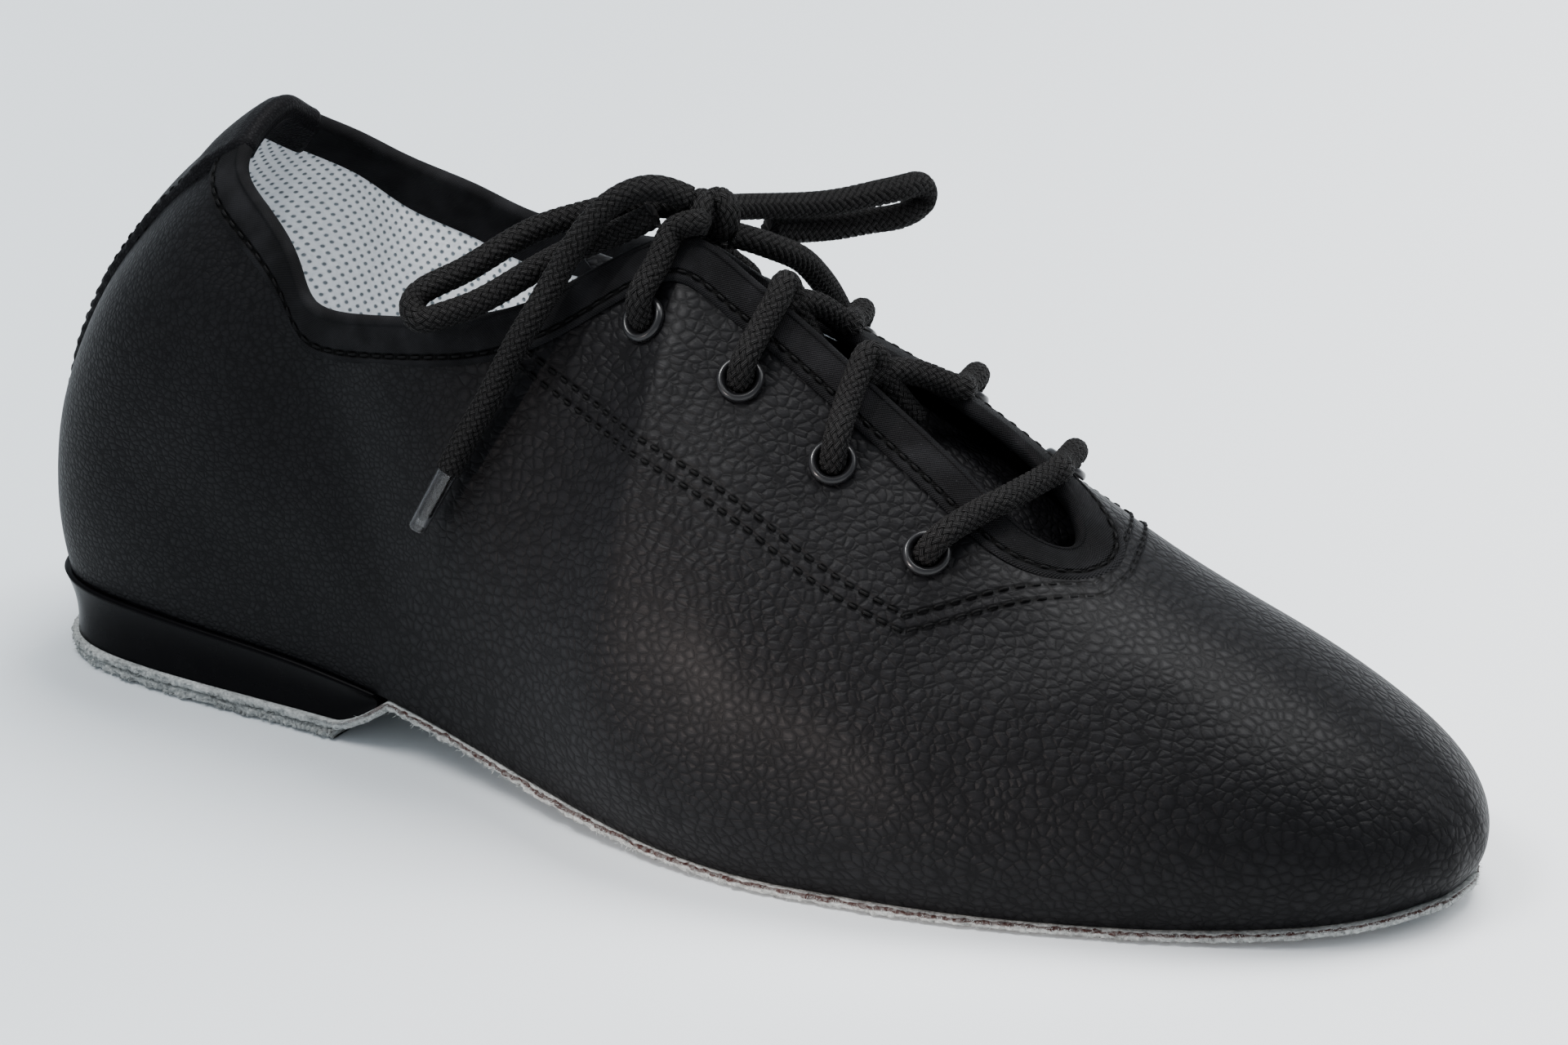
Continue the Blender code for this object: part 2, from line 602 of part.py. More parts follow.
def make_backstay(collection, material):
    """Leather strip up the back seam, over the binding and into the collar."""
    levels = np.linspace(0.02, 0.88, 8)
    across = np.linspace(-1, 1, 6)
    grid_low, grid_high = [], []
    over_tape = EYESTAY_STEP + TAPE + 3 * GAP
    for level, offset in [(v, 2 * GAP) for v in levels] + [(0.94, over_tape), (1.0, over_tape)]:
        reach = STAY_HALF * (1 - 0.15 * level)
        ring = np.linspace(-1.6, 1.6, 33)
        line = skin(ring, np.full_like(ring, level))
        run = np.concatenate([[0], np.cumsum(np.linalg.norm(np.diff(line, axis=0), axis=1))])
        centre = np.interp(0, ring, run)
        u = np.interp(centre + across * reach, run, ring)
        at = np.full_like(u, level)
        grid_low.append(skin(u, at, offset))
        grid_high.append(skin(u, at, offset + STAY_THICKNESS))
    rim = skin(u, np.ones_like(u))
    away = rim - skin(u, level_below(np.mod(u, ROUND), 0.002))
    away /= np.linalg.norm(away, axis=1)[:, None]
    lift = 2 * GAP + 1.6 * TAPE
    inside = -WALL - TAPE - 4 * GAP
    grid_low[-1] = grid_low[-1] + away * lift * 0.7
    grid_high[-1] = grid_high[-1] + away * (lift + STAY_THICKNESS * 0.7)
    grid_low.append(skin(u, np.ones_like(u), -WALL / 2) + away * (lift + GAP))
    grid_high.append(skin(u, np.ones_like(u), -WALL / 2) + away * (lift + GAP + STAY_THICKNESS))
    grid_low.append(skin(u, np.ones_like(u), inside) + away * lift * 0.7)
    grid_high.append(skin(u, np.ones_like(u), inside - STAY_THICKNESS) + away * (lift + STAY_THICKNESS * 0.7))
    deep = level_below(np.mod(u, ROUND), 0.004)
    grid_low.append(skin(u, deep, inside))
    grid_high.append(skin(u, deep, inside - STAY_THICKNESS))
    return slab("backstay", np.array(grid_low), np.array(grid_high), collection, material)


def make_tongue(collection, material):
    """Leather tongue bridging the throat, seated under the vamp at its front."""
    share = np.linspace(0.492, TONGUE_FRONT, 12)
    across = np.linspace(-1, 1, 9)
    low, high = [], []
    for s in share:
        throat = min(s, 0.742)
        left, right = station_at(throat, False), station_at(throat, True)
        ends = []
        for u in (left, right):
            t = level_below([u], TONGUE_TUCK)[0]
            ends.append(skin([[u]], [[t]], -WALL - 3 * GAP)[0, 0])
        edges = skin([[left, right]], [[1.0, 1.0]])[0]
        top = edges.mean(0) - np.array([0, 0, TONGUE_DROP])
        control = 2 * top - (ends[0] + ends[1]) / 2
        forward = np.array([(s - throat) * SOLE_LENGTH, 0, -(s - throat) * SOLE_LENGTH * 0.62])
        v = (across[:, None] + 1) / 2
        line = (1 - v)**2 * ends[0] + 2 * (1 - v) * v * control + v * v * ends[1] + forward
        low.append(line - np.array([0, 0, TONGUE_THICKNESS]))
        high.append(line)
    lead = high[0] - high[1]
    lead[:, 2] *= 0.35
    lead /= np.linalg.norm(lead, axis=1)[:, None]
    reach = (0.492 - TONGUE_BACK) * SOLE_LENGTH
    for step in (0.33, 0.66, 1.0):
        round_end = 1 - 0.55 * np.abs(across[:, None])**2.5 * step
        pull = np.array([1, 1 - 0.12 * step, 1])
        low.insert(0, low[0] * pull + lead * reach * 0.33 * round_end)
        high.insert(0, high[0] * pull + lead * reach * 0.33 * round_end)
    return slab("tongue", np.array(low), np.array(high), collection, material)


def make_eyelet(name, middle, axis, collection, material):
    """Ring on the outside with its tube through the wall."""
    base = EYESTAY_STEP + 1.8 * GAP
    profile = [
        (EYELET_BORE + 0.0003, base + EYELET_RISE),
        (EYELET_FLANGE - 0.0004, base + EYELET_RISE * 0.6),
        (EYELET_FLANGE, base),
        (EYELET_BARREL, base),
        (EYELET_BARREL, -WALL - GAP),
        (EYELET_BORE, -WALL - GAP),
    ]
    mesh = bpy.data.meshes.new(name)
    count = len(profile)
    mesh.from_pydata([(r, 0, z) for r, z in profile], [(i, (i + 1) % count) for i in range(count)], [])
    ring = new_object(name, mesh, collection, material)
    turn = ring.modifiers.new("turn", "SCREW")
    turn.angle = 2 * math.pi
    turn.steps = 10
    turn.render_steps = 10
    turn.use_merge_vertices = True
    turn.merge_threshold = 0.00001
    ring.matrix_world = facing(middle, axis)
    return ring


def tube(name, points, radius, collection, material):
    """A round cord along the points, as a curve with filled caps."""
    curve = bpy.data.curves.new(name, "CURVE")
    curve.dimensions = "3D"
    curve.bevel_depth = radius
    curve.bevel_resolution = 2
    curve.use_fill_caps = True
    line = curve.splines.new("POLY")
    line.points.add(len(points) - 1)
    for point, place in zip(line.points, shifted(points)):
        point.co = (*place, 1)
    return new_object(name, curve, collection, material)


def smooth_route(points, spacing):
    """Evenly spaced points on a smooth curve through the route's own points."""
    points = np.asarray(points, float)
    run = np.concatenate([[0], np.cumsum(np.linalg.norm(np.diff(points, axis=0), axis=1))])
    count = max(3, round(run[-1] / spacing) + 1)
    return spline(run, points, np.linspace(0, run[-1], count))


def bow_points(places):
    """Points of the bow in metres, grown with the shoe's own sizes."""
    grown = np.array([SOLE_LENGTH, BALL_HALF, UPPER_HEIGHT]) / BOW_DRAWN_ON
    return np.asarray(places, float) * grown


def joined(name, tubes, collection, material):
    """Turn crossing tubes into meshes and unite them."""
    solids = []
    graph = bpy.context.evaluated_depsgraph_get()
    graph.update()
    for piece in tubes:
        mesh = bpy.data.meshes.new_from_object(piece.evaluated_get(graph))
        build = bmesh.new()
        build.from_mesh(mesh)
        bmesh.ops.remove_doubles(build, verts=build.verts, dist=0.00001)
        build.to_mesh(mesh)
        build.free()
        solid = bpy.data.objects.new(name, mesh)
        solid.matrix_world = piece.matrix_world
        solids.append(solid)
        bpy.data.objects.remove(piece)
    first = solids[0]
    collection.objects.link(first)
    first.data.materials.clear()
    first.data.materials.append(material)
    for other in solids[1:]:
        guides = bpy.data.collections["cutters_lace"]
        other.name = name + "_guide"
        guides.objects.link(other)
        other.hide_render = True
        other.display_type = "WIRE"
        union = first.modifiers.new("join", "BOOLEAN")
        union.operation = "UNION"
        union.solver = "EXACT"
        union.object = other
    return first


def lace_start(middle, axis, towards):
    """First points of a lace just above its eyelet, leaning towards the throat."""
    radius = LACE / 2
    lean = towards - middle
    lean -= axis * np.dot(lean, axis)
    lean /= np.linalg.norm(lean)
    base = middle + axis * (EYESTAY_STEP + 2 * GAP + EYELET_RISE + GAP)
    return [base + axis * radius * 0.75, base + axis * (radius * 1.1) + lean * radius * 0.9]


def make_lacing(collection, material):
    """Bar across the lowest eyelets, and the crossings of the rows above it."""
    seats = {name: (middle, axis, over) for name, middle, axis, over in eyelet_seats()}
    clear = LACE / 2 + EYESTAY_STEP + TAPE + 3.6 * GAP
    last = len(EYELET_ROWS["outer"])
    for number in range(1, last + 1):
        arms = []
        for side in ("outer", "inner"):
            middle, axis, over = seats[f"eyelet_{side}_{number}"]
            near = skin([[over]], [[float(level_below([over], LACE_BEND)[0])]], clear)[0, 0]
            rim = skin([[over]], [[1.0]], clear)[0, 0]
            arms.append(lace_start(middle, axis, near) + [near, rim])
        outer, inner = arms
        if number == 1:
            for side, arm in (("outer", outer), ("inner", inner)):
                arm.append(bow_points(TOP_ENDS[side]))
                tube(f"lace_top_{side}", smooth_route(arm, 0.0026), LACE / 2, collection, material)
            continue
        if number == last:
            arms = [outer + [(outer[-1] + inner[-1]) / 2] + inner[::-1]]
        else:
            cross = outer[-1] * 0.55 + inner[-1] * 0.45 + np.array([0, 0, 2 * GAP])
            arms = [outer + [cross], inner + [cross]]
        tubes = [tube(f"lace_arm_{side}", smooth_route(arm, 0.0030), LACE / 2, collection, material)
                 for side, arm in enumerate(arms)]
        joined(f"lace_row_{number}", tubes, collection, material)


def make_bow(collection, lace, clear_plastic):
    """Knot, two loops, two free ends and their tips."""
    build = bmesh.new()
    size = Matrix.Diagonal((*(LACE * np.array(KNOT_RADII)), 1))
    bmesh.ops.create_uvsphere(build, u_segments=12, v_segments=7, radius=1, matrix=size)
    mesh = bpy.data.meshes.new("knot")
    build.to_mesh(mesh)
    build.free()
    mesh.shade_smooth()
    knot = new_object("knot", mesh, collection, lace)
    knot.location = shifted(bow_points(KNOT))
    routes = {"loop_outer": LOOP_OUTER, "loop_inner": LOOP_INNER,
              "end_outer": END_OUTER, "end_inner": END_INNER}
    for name, route in routes.items():
        points = smooth_route(bow_points(route), 1.2 * LACE)
        tube(name, points, LACE / 2, collection, lace)
        if name.startswith("end"):
            way = points[-1] - points[-2]
            way /= np.linalg.norm(way)
            start = points[-1] + way * GAP
            tip = [start + way * AGLET_LENGTH * k / 3 for k in range(4)]
            tube("aglet_" + name[4:], tip, AGLET_RADIUS, collection, clear_plastic)


def main():
    for old in list(bpy.data.objects):
        bpy.data.objects.remove(old)
    shoe = bpy.data.collections.new("jazz_shoe")
    cutters = bpy.data.collections.new("cutters")
    lace_cutters = bpy.data.collections.new("cutters_lace")
    for group in (shoe, cutters, lace_cutters):
        bpy.context.scene.collection.children.link(group)
    leather = finish("black_leather", (0.018, 0.018, 0.021), 0.42)
    stay = finish("backstay_leather", (0.022, 0.022, 0.026), 0.42)
    tongue_leather = finish("tongue_leather", (0.03, 0.03, 0.034), 0.45)
    tape = finish("black_tape", (0.006, 0.006, 0.007), 0.75)
    suede = finish("grey_suede", (0.52, 0.54, 0.54), 0.95)
    rubber = finish("black_rubber", (0.01, 0.01, 0.012), 0.38)
    sock = finish("white_sock", (0.75, 0.77, 0.78), 0.9)
    metal = finish("black_metal", (0.03, 0.03, 0.032), 0.25)
    lace = finish("black_lace", (0.008, 0.008, 0.009), 0.8)
    plastic = finish("clear_tip", (0.35, 0.35, 0.37), 0.2)
    make_outsole(shoe, suede)
    make_heel(shoe, rubber)
    make_heel_lift(shoe, suede)
    make_insole(shoe, sock)
    make_upper(shoe, cutters, leather)
    make_binding(shoe, tape)
    make_backstay(shoe, stay)
    make_tongue(shoe, tongue_leather)
    for name, middle, axis, _ in eyelet_seats():
        make_eyelet(name, middle, axis, shoe, metal)
    make_lacing(shoe, lace)
    make_bow(shoe, lace, plastic)


main()
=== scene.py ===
"""Looks of a soft black leather jazz shoe, built on its CAD frame.

The upper's form is the same ring of strips as in the part's own source, read at
a higher resolution. Tables hold shares of the named sizes; routes of laces and
seams are points in millimetres from the back of the heel. +X is the toe, +Y the
inner side of the foot, +Z up.
"""
import math
from functools import partial

import bpy
import numpy as np
from mathutils import Matrix, Vector


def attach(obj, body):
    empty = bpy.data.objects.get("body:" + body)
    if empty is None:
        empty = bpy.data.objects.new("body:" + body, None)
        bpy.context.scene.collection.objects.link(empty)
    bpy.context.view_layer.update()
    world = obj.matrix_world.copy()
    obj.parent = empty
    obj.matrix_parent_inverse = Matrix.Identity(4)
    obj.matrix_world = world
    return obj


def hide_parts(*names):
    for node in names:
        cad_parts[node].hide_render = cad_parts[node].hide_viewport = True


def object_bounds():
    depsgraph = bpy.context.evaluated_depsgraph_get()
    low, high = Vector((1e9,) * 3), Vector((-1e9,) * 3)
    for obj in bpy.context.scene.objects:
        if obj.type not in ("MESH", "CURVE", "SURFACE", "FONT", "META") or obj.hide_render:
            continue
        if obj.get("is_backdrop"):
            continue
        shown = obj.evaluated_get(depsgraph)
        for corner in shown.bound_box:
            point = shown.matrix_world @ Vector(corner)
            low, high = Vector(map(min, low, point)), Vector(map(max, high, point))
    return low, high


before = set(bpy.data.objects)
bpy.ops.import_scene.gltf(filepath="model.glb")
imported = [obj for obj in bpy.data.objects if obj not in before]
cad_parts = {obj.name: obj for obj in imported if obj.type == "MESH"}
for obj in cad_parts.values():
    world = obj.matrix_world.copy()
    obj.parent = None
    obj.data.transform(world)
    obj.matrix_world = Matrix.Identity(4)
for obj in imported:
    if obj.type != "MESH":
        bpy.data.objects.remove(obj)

bl_info = {
    "name": "Jazz Shoe",
    "version": (1, 0, 0),
    "blender": (4, 5, 0),
    "location": "View3D > Sidebar > Jazz Shoe",
    "description": "Builds a laced black leather jazz shoe with its studio",
    "category": "Object",
}

# Sizes in metres, as in the part's source but for the two with a remark
SOLE_LENGTH = 0.266
BALL_HALF = 0.040
UPPER_HEIGHT = 0.0845
HEEL_HEIGHT = 0.0134
TOE_SPRING = 0.0028
HEEL_CENTRE = 0.034
TREAD_START = 0.62
TREAD_END = 0.82
WALL = 0.0015
SOLE_THICKNESS = 0.0015
LIFT_THICKNESS = 0.0016
INSOLE_THICKNESS = 0.0012
TONGUE_THICKNESS = 0.0014
STAY_THICKNESS = 0.0009
TAPE = 0.0004
GAP = 0.0003
BREAST_LOW = 0.252
BREAST_HIGH = 0.300
LIP = 0.0008
BINDING_WIDTH = 0.0074      # with the tape's rounded edge
STAY_HALF = 0.0150          # to the strip's seen edge
TONGUE_BACK = 0.395
TONGUE_FRONT = 0.775
TONGUE_DROP = 0.0072
LACE = 0.0043
EYELET_INSET = 0.0150
EYELET_BORE = 0.0024
EYELET_FLANGE = 0.0040
AGLET_LENGTH = 0.012
AGLET_RADIUS = 0.0017
LACE_STEP = 0.0003          # between points along a lace
RIM_DEPTH = 0.0015          # under the top edge, to find the way over it
MM = 0.001

# Half breadths of the sole: share of length, outer side, inner side
OUTLINE = [
    (0.0000, 0.07, 0.07), (0.0020, 0.27, 0.25), (0.0110, 0.45, 0.43), (0.0340, 0.59, 0.57),
    (0.0800, 0.67, 0.65), (0.1600, 0.70, 0.68), (0.2400, 0.71, 0.66), (0.3200, 0.75, 0.61),
    (0.3900, 0.84, 0.59), (0.4600, 0.95, 0.61), (0.5300, 1.03, 0.69), (0.6000, 1.05, 0.81),
    (0.6600, 1.01, 0.90), (0.7300, 0.93, 0.95), (0.8000, 0.79, 0.94), (0.8700, 0.62, 0.85),
    (0.9300, 0.43, 0.72), (0.9750, 0.20, 0.53), (0.9950, -0.01, 0.33), (1.0000, -0.10, 0.22),
]

# Lift of the shank: share of length, share of the heel's height
LIFT = [
    (-0.05, 1.00), (0.02, 1.00), (0.08, 0.98), (0.15, 0.92), (0.22, 0.83),
    (0.30, 0.64), (0.40, 0.36), (0.50, 0.13), (0.57, 0.03), (TREAD_START, 0.00),
]

# Strips of the upper: start on the sole (share of length), end on the top edge
# (shares of length, half breadth and height), lean in degrees and fullness as a
# share of the chord, at the sole and at the top
OUTER_STRIPS = [
    (0.000, 0.147, 0.075, 1.007, 10, 0.35, 56, 0.41),
    (0.012, 0.154, -0.250, 0.955, 10, 0.35, 52, 0.40),
    (0.055, 0.188, -0.425, 0.901, 10, 0.34, 34, 0.37),
    (0.110, 0.222, -0.525, 0.832, 10, 0.34, 18, 0.34),
    (0.170, 0.242, -0.575, 0.756, 8, 0.32, 4, 0.30),
    (0.240, 0.293, -0.600, 0.783, 8, 0.32, 5, 0.32),
    (0.310, 0.350, -0.575, 0.838, 10, 0.34, 12, 0.34),
    (0.380, 0.402, -0.463, 0.909, 14, 0.34, 25, 0.38),
    (0.440, 0.451, -0.275, 1.023, 18, 0.34, 38, 0.40),
    (0.495, 0.492, -0.163, 1.079, 22, 0.34, 46, 0.42),
    (0.545, 0.530, -0.150, 1.036, 25, 0.34, 50, 0.42),
    (0.600, 0.575, -0.150, 0.962, 28, 0.34, 53, 0.42),
    (0.660, 0.628, -0.150, 0.857, 30, 0.33, 56, 0.42),
    (0.730, 0.684, -0.150, 0.738, 33, 0.32, 62, 0.42),
    (0.830, 0.727, -0.125, 0.630, 34, 0.31, 68, 0.36),
]
TOE_STRIP = (1.000, 0.748, 0.037, 0.590, 40, 0.31, 69, 0.30)
INNER_STRIPS = [
    (0.850, 0.729, 0.163, 0.665, 30, 0.29, 62, 0.32),
    (0.750, 0.684, 0.200, 0.759, 26, 0.30, 58, 0.36),
    (0.680, 0.628, 0.200, 0.835, 24, 0.31, 66, 0.40),
    (0.610, 0.575, 0.175, 0.893, 18, 0.33, 70, 0.43),
    (0.550, 0.530, 0.120, 0.945, 13, 0.34, 68, 0.42),
    (0.500, 0.492, 0.115, 0.992, 10, 0.34, 47, 0.39),
    (0.450, 0.451, 0.250, 0.970, 8, 0.34, 32, 0.37),
    (0.390, 0.402, 0.445, 0.890, 7, 0.34, 20, 0.35),
    (0.320, 0.346, 0.575, 0.830, 7, 0.33, 8, 0.34),
    (0.250, 0.289, 0.600, 0.800, 7, 0.32, 3, 0.32),
    (0.180, 0.241, 0.613, 0.812, 7, 0.32, 3, 0.30),
    (0.115, 0.195, 0.575, 0.838, 8, 0.33, 8, 0.30),
    (0.058, 0.162, 0.475, 0.891, 10, 0.36, 34, 0.38),
    (0.014, 0.147, 0.275, 0.959, 10, 0.35, 50, 0.40),
]

# Middle of the eyestay's double seam, outer side then round the tip (mm)
SEAM = [
    (99.0, -21.6, 79.4), (104.0, -22.0, 77.0), (108.7, -22.6, 74.4), (117.2, -24.0, 71.4),
    (131.0, -27.4, 68.2), (146.0, -29.8, 64.2), (158.0, -30.2, 59.2), (169.5, -29.9, 53.3),
    (184.6, -28.9, 47.4), (189.5, -24.9, 49.2), (198.0, -15.9, 50.6), (207.6, -4.6, 49.6),
    (207.4, 2.0, 49.8), (202.6, 14.0, 50.4), (195.0, 26.0, 47.6), (184.0, 30.0, 49.0),
    (170.0, 31.0, 52.0), (156.0, 31.0, 57.0), (144.0, 30.0, 62.0), (130.0, 27.0, 67.0),
    (117.0, 24.5, 71.0), (107.0, 22.0, 76.0),
]
SEAM_CORNERS = (8, 11, 12, 14)
SEAM_SPACING = 2.7          # mm between the two rows
SEAM_STEP = 0.0006          # between points along the seam
SEAM_REACH = 0.022          # leather further off knows nothing of the seam
SEAM_FAR = 20.0             # mm, the distance it is given instead

# Soft folds in the leather: two ends (mm), width and depth (mm), below zero for a ridge
FOLDS = [
    ((64.0, -26.0, 68.0), (80.0, -33.0, 34.0), 8.0, 1.1),
    ((50.0, -27.0, 70.0), (50.0, -30.0, 42.0), 10.0, -0.8),
    ((80.0, -27.0, 70.0), (98.0, -34.0, 46.0), 9.0, -0.7),
    ((112.0, -36.0, 44.0), (140.0, -44.0, 22.0), 12.0, -0.7),
    ((30.0, -27.0, 40.0), (62.0, -30.0, 27.0), 10.0, 0.6),
    ((186.0, -34.0, 36.0), (206.0, -20.0, 45.0), 10.0, 0.5),
    ((196.0, -30.0, 36.0), (222.0, -12.0, 38.0), 6.0, -0.35),
    ((205.0, -6.0, 46.0), (238.0, 4.0, 26.0), 14.0, -0.5),
    ((150.0, -42.0, 30.0), (178.0, -44.0, 22.0), 7.0, 0.45),
    ((66.0, 26.0, 66.0), (82.0, 29.0, 36.0), 9.0, 0.8),
    ((176.0, 36.0, 40.0), (200.0, 30.0, 42.0), 10.0, 0.4),
]

# Knot, bow and free ends (mm)
KNOT = (130.8, -0.8, 97.6)
LOOP_OUTER = [
    (126.4, -1.3, 98.1), (117.6, -4.1, 98.1), (109.7, -6.5, 95.8), (102.6, -10.5, 93.2),
    (97.7, -16.5, 90.0), (94.2, -21.5, 87.6), (91.4, -25.6, 86.2), (90.4, -29.0, 84.4),
    (92.4, -30.6, 82.6), (95.2, -28.6, 82.8), (99.6, -24.6, 84.4), (106.0, -18.4, 88.6),
    (111.5, -13.4, 92.0), (118.0, -9.6, 95.0), (124.2, -7.2, 98.4),
]
END_OUTER = [
    (129.2, -3.9, 101.1), (124.7, -7.4, 103.4), (119.6, -11.6, 101.6), (116.0, -15.8, 96.8),
    (113.0, -20.2, 89.6), (111.0, -23.8, 84.2), (108.6, -25.7, 79.4), (106.4, -27.2, 74.5),
    (104.1, -28.8, 69.3), (102.0, -29.9, 65.4), (100.0, -31.1, 61.4), (98.0, -32.2, 57.4),
]
LOOP_INNER = [
    (131.6, 3.7, 97.4), (132.8, 10.5, 95.4), (135.3, 18.0, 93.4), (138.4, 25.0, 92.2),
    (141.7, 32.0, 91.9), (143.4, 37.5, 91.4), (143.8, 42.0, 89.9), (143.4, 43.0, 87.4),
    (142.2, 40.0, 85.7), (139.8, 34.5, 85.9), (136.7, 27.0, 86.7), (133.9, 20.0, 88.1),
    (132.4, 13.6, 89.8),
]
END_INNER = [
    (134.2, 0.6, 94.2), (136.4, 3.4, 92.6), (138.2, 7.2, 90.2), (139.0, 12.6, 86.6),
    (138.6, 18.0, 81.6), (137.2, 23.8, 75.6), (137.2, 29.2, 66.4), (139.2, 33.2, 57.0),
    (142.2, 36.3, 47.4), (145.2, 38.4, 40.5),
]
TOP_ENDS = {"outer": (134.5, -5.7, 98.8), "inner": (127.4, 2.8, 92.4)}

# Wraps of the knot: offset along it, half height, half width, lean (m)
KNOT_WRAPS = ((0.0016, 0.0026, 0.0022, 0.0008), (-0.0018, 0.0022, 0.0024, -0.0012))

# The two laces of a crossing: share of the way from the outer edge to the inner, rise (m)
CROSSING_UNDER = ((0.12, 0.0044), (0.27, 0.0014), (0.42, -0.0030), (0.60, -0.0060))
CROSSING_OVER = ((0.90, 0.0018), (0.74, 0.0024), (0.50, 0.0026), (0.20, 0.0014), (0.04, 0.0004))

# Eyelets from the top: share of the length, share of the inset
EYELET_ROWS = {
    "outer": [(0.4705, 0.86), (0.5519, 0.97), (0.6179, 0.99), (0.6853, 1.05)],
    "inner": [(0.4620, 0.95), (0.5510, 1.02), (0.6190, 1.06), (0.6880, 1.00)],
}

# Where each row's lace climbs over the throat's edge, from the top (share of length)
LACE_OVER = {
    "outer": (0.4825, 0.5540, 0.6110, 0.7080),
    "inner": (0.4640, 0.5700, 0.6480, 0.7180),
}
LACE_CLEAR = {"outer": 0.0003, "inner": -0.0006}    # over the skin; below zero presses in

# Braid of the lace, in the mesh and in its finish
CARRIERS = 10.0             # round the cord
CARRIER_PITCH = 1.5         # mm along it

# Lining: spacing of its perforations along and across the rows (mm)
HOLE_PITCH, ROW_PITCH = 2.60, 1.40

# Back strip: how much it narrows to the top, and where its stitches run
STAY_TAPER = 0.15
STAY_SEAM = 0.86
BACK_RING = np.linspace(-1.8, 1.8, 181)     # stations round the back of the heel

# Camera: angles in degrees, lengths in metres, lens in millimetres
CAMERA = {"azimuth": 35.47, "elevation": 23.61, "distance": 1.359, "roll": -2.84,
          "aim": (0.10813, 0.0, 0.04469), "lens": 189.02}

# Soft lamps: size (m), share of the key light, azimuth and elevation in degrees, distance (m)
LAMPS = [
    ("overhead", (0.95, 0.7), 0.96, 160, 70, 1.4),
    ("back_right", (0.9, 0.7), 0.22, 125, 36, 1.6),
    ("vamp_glow", (0.8, 0.6), 0.46, -40, 62, 1.5),
]

# Narrow beams: setting, share of it, target (m), way it comes from, cone in degrees, colour
BEAMS = [
    ("collar", "collar_light", 1.0, (0.024, 0.020, 0.072), (0.40, -0.62, 0.68), 4.2, (1, 1, 1)),
    ("ball", "ball_light", 1.0, (0.128, -0.040, 0.024), (-0.34, -0.93, 0.16), 6.5, (1.0, 0.86, 0.80)),
    ("vamp", "ball_light", 0.55, (0.130, -0.020, 0.044), (-0.45, -0.55, 1.20), 6.0, (1, 1, 1)),
]
BEAM_DISTANCE = 1.5
BEAM_RADIUS = 0.02

BLACK = (0.0004, 0.0004, 0.0004)

# Section of a suede sheet: share of the way out from its middle, share of its thickness
SHEET_PROFILE = [
    (0.0, 1.0), (0.7, 1.0), (0.97, 1.0), (1.0, 0.93), (1.006, 0.7),
    (1.006, 0.35), (1.0, 0.1), (0.97, 0.0), (0.7, 0.0), (0.0, 0.0),
]

# Section of an eyelet's ring: radius, height over the leather (m)
EYELET_PROFILE = [
    (EYELET_BORE - 0.0001, -0.0030), (EYELET_BORE, -0.0008), (EYELET_BORE + 0.00008, 0.0001),
    (EYELET_BORE + 0.00028, 0.0006), (EYELET_BORE + 0.00060, 0.00092),
    (EYELET_BORE + 0.00095, 0.00098), (EYELET_FLANGE - 0.00035, 0.00080),
    (EYELET_FLANGE - 0.00008, 0.00045), (EYELET_FLANGE, 0.0001), (EYELET_FLANGE - 0.0001, -0.0003),
]


def spline(knots, values, at, period=None):
    """Read a smooth cubic through the values; closed where a period is given."""
    knots = np.asarray(knots, float)
    values = np.asarray(values, float).reshape(len(knots), -1)
    at = np.asarray(at, float)
    count = len(knots)
    if period:
        knots = np.append(knots, knots[0] + period)
        values = np.vstack([values, values[:1]])
        at = knots[0] + np.mod(at - knots[0], period)
    else:
        at = np.clip(at, knots[0], knots[-1])
    step = np.diff(knots)
    slope = np.diff(values, axis=0) / step[:, None]
    system = np.eye(count)
    right = np.zeros((count, values.shape[1]))
    for i in range(0 if period else 1, count if period else count - 1):
        before, after = step[i - 1], step[i]
        system[i, i] = 2 * (before + after)
        system[i, i - 1] = before
        system[i, (i + 1) % count] = after
        right[i] = 6 * (slope[i] - slope[i - 1])
    bend = np.linalg.solve(system, right)
    if period:
        bend = np.vstack([bend, bend[:1]])
    k = np.clip(np.searchsorted(knots, at, side="right") - 1, 0, len(step) - 1)
    width = step[k][:, None]
    b = (at - knots[k])[:, None] / width
    a = 1 - b
    curve = (a**3 - a) * bend[k] + (b**3 - b) * bend[k + 1]
    return a * values[k] + b * values[k + 1] + curve * width**2 / 6


def run_along(points):
    """Length of the way to each point of a line, from 0."""
    return np.concatenate([[0], np.cumsum(np.linalg.norm(np.diff(points, axis=0), axis=1))])


def eased(count):
    """Shares from 0 to 1, closer together towards both ends."""
    return (1 - np.cos(np.linspace(0, math.pi, count))) / 2


def seat(x):
    """Height of the upper's lower edge above the floor, x from the back."""
    share = np.asarray(x, float) / SOLE_LENGTH
    lift = spline([row[0] for row in LIFT], [row[1] for row in LIFT], share.ravel())[:, 0]
    lift = np.where(share.ravel() >= TREAD_START, 0, np.maximum(lift, 0)).reshape(share.shape)
    rise = np.clip((share - TREAD_END) / (1 - TREAD_END), 0, None)
    return GAP + SOLE_THICKNESS + HEEL_HEIGHT * lift + TOE_SPRING * rise**2


def half_breadths(x):
    """Half breadth of the sole on the outer and the inner side."""
    share = np.asarray(x, float) / SOLE_LENGTH
    angle = np.arccos(1 - 2 * np.clip([row[0] for row in OUTLINE], 0, 1))
    at = np.arccos(1 - 2 * np.clip(share, 0, 1))
    return spline(angle, [row[1:] for row in OUTLINE], at) * BALL_HALF


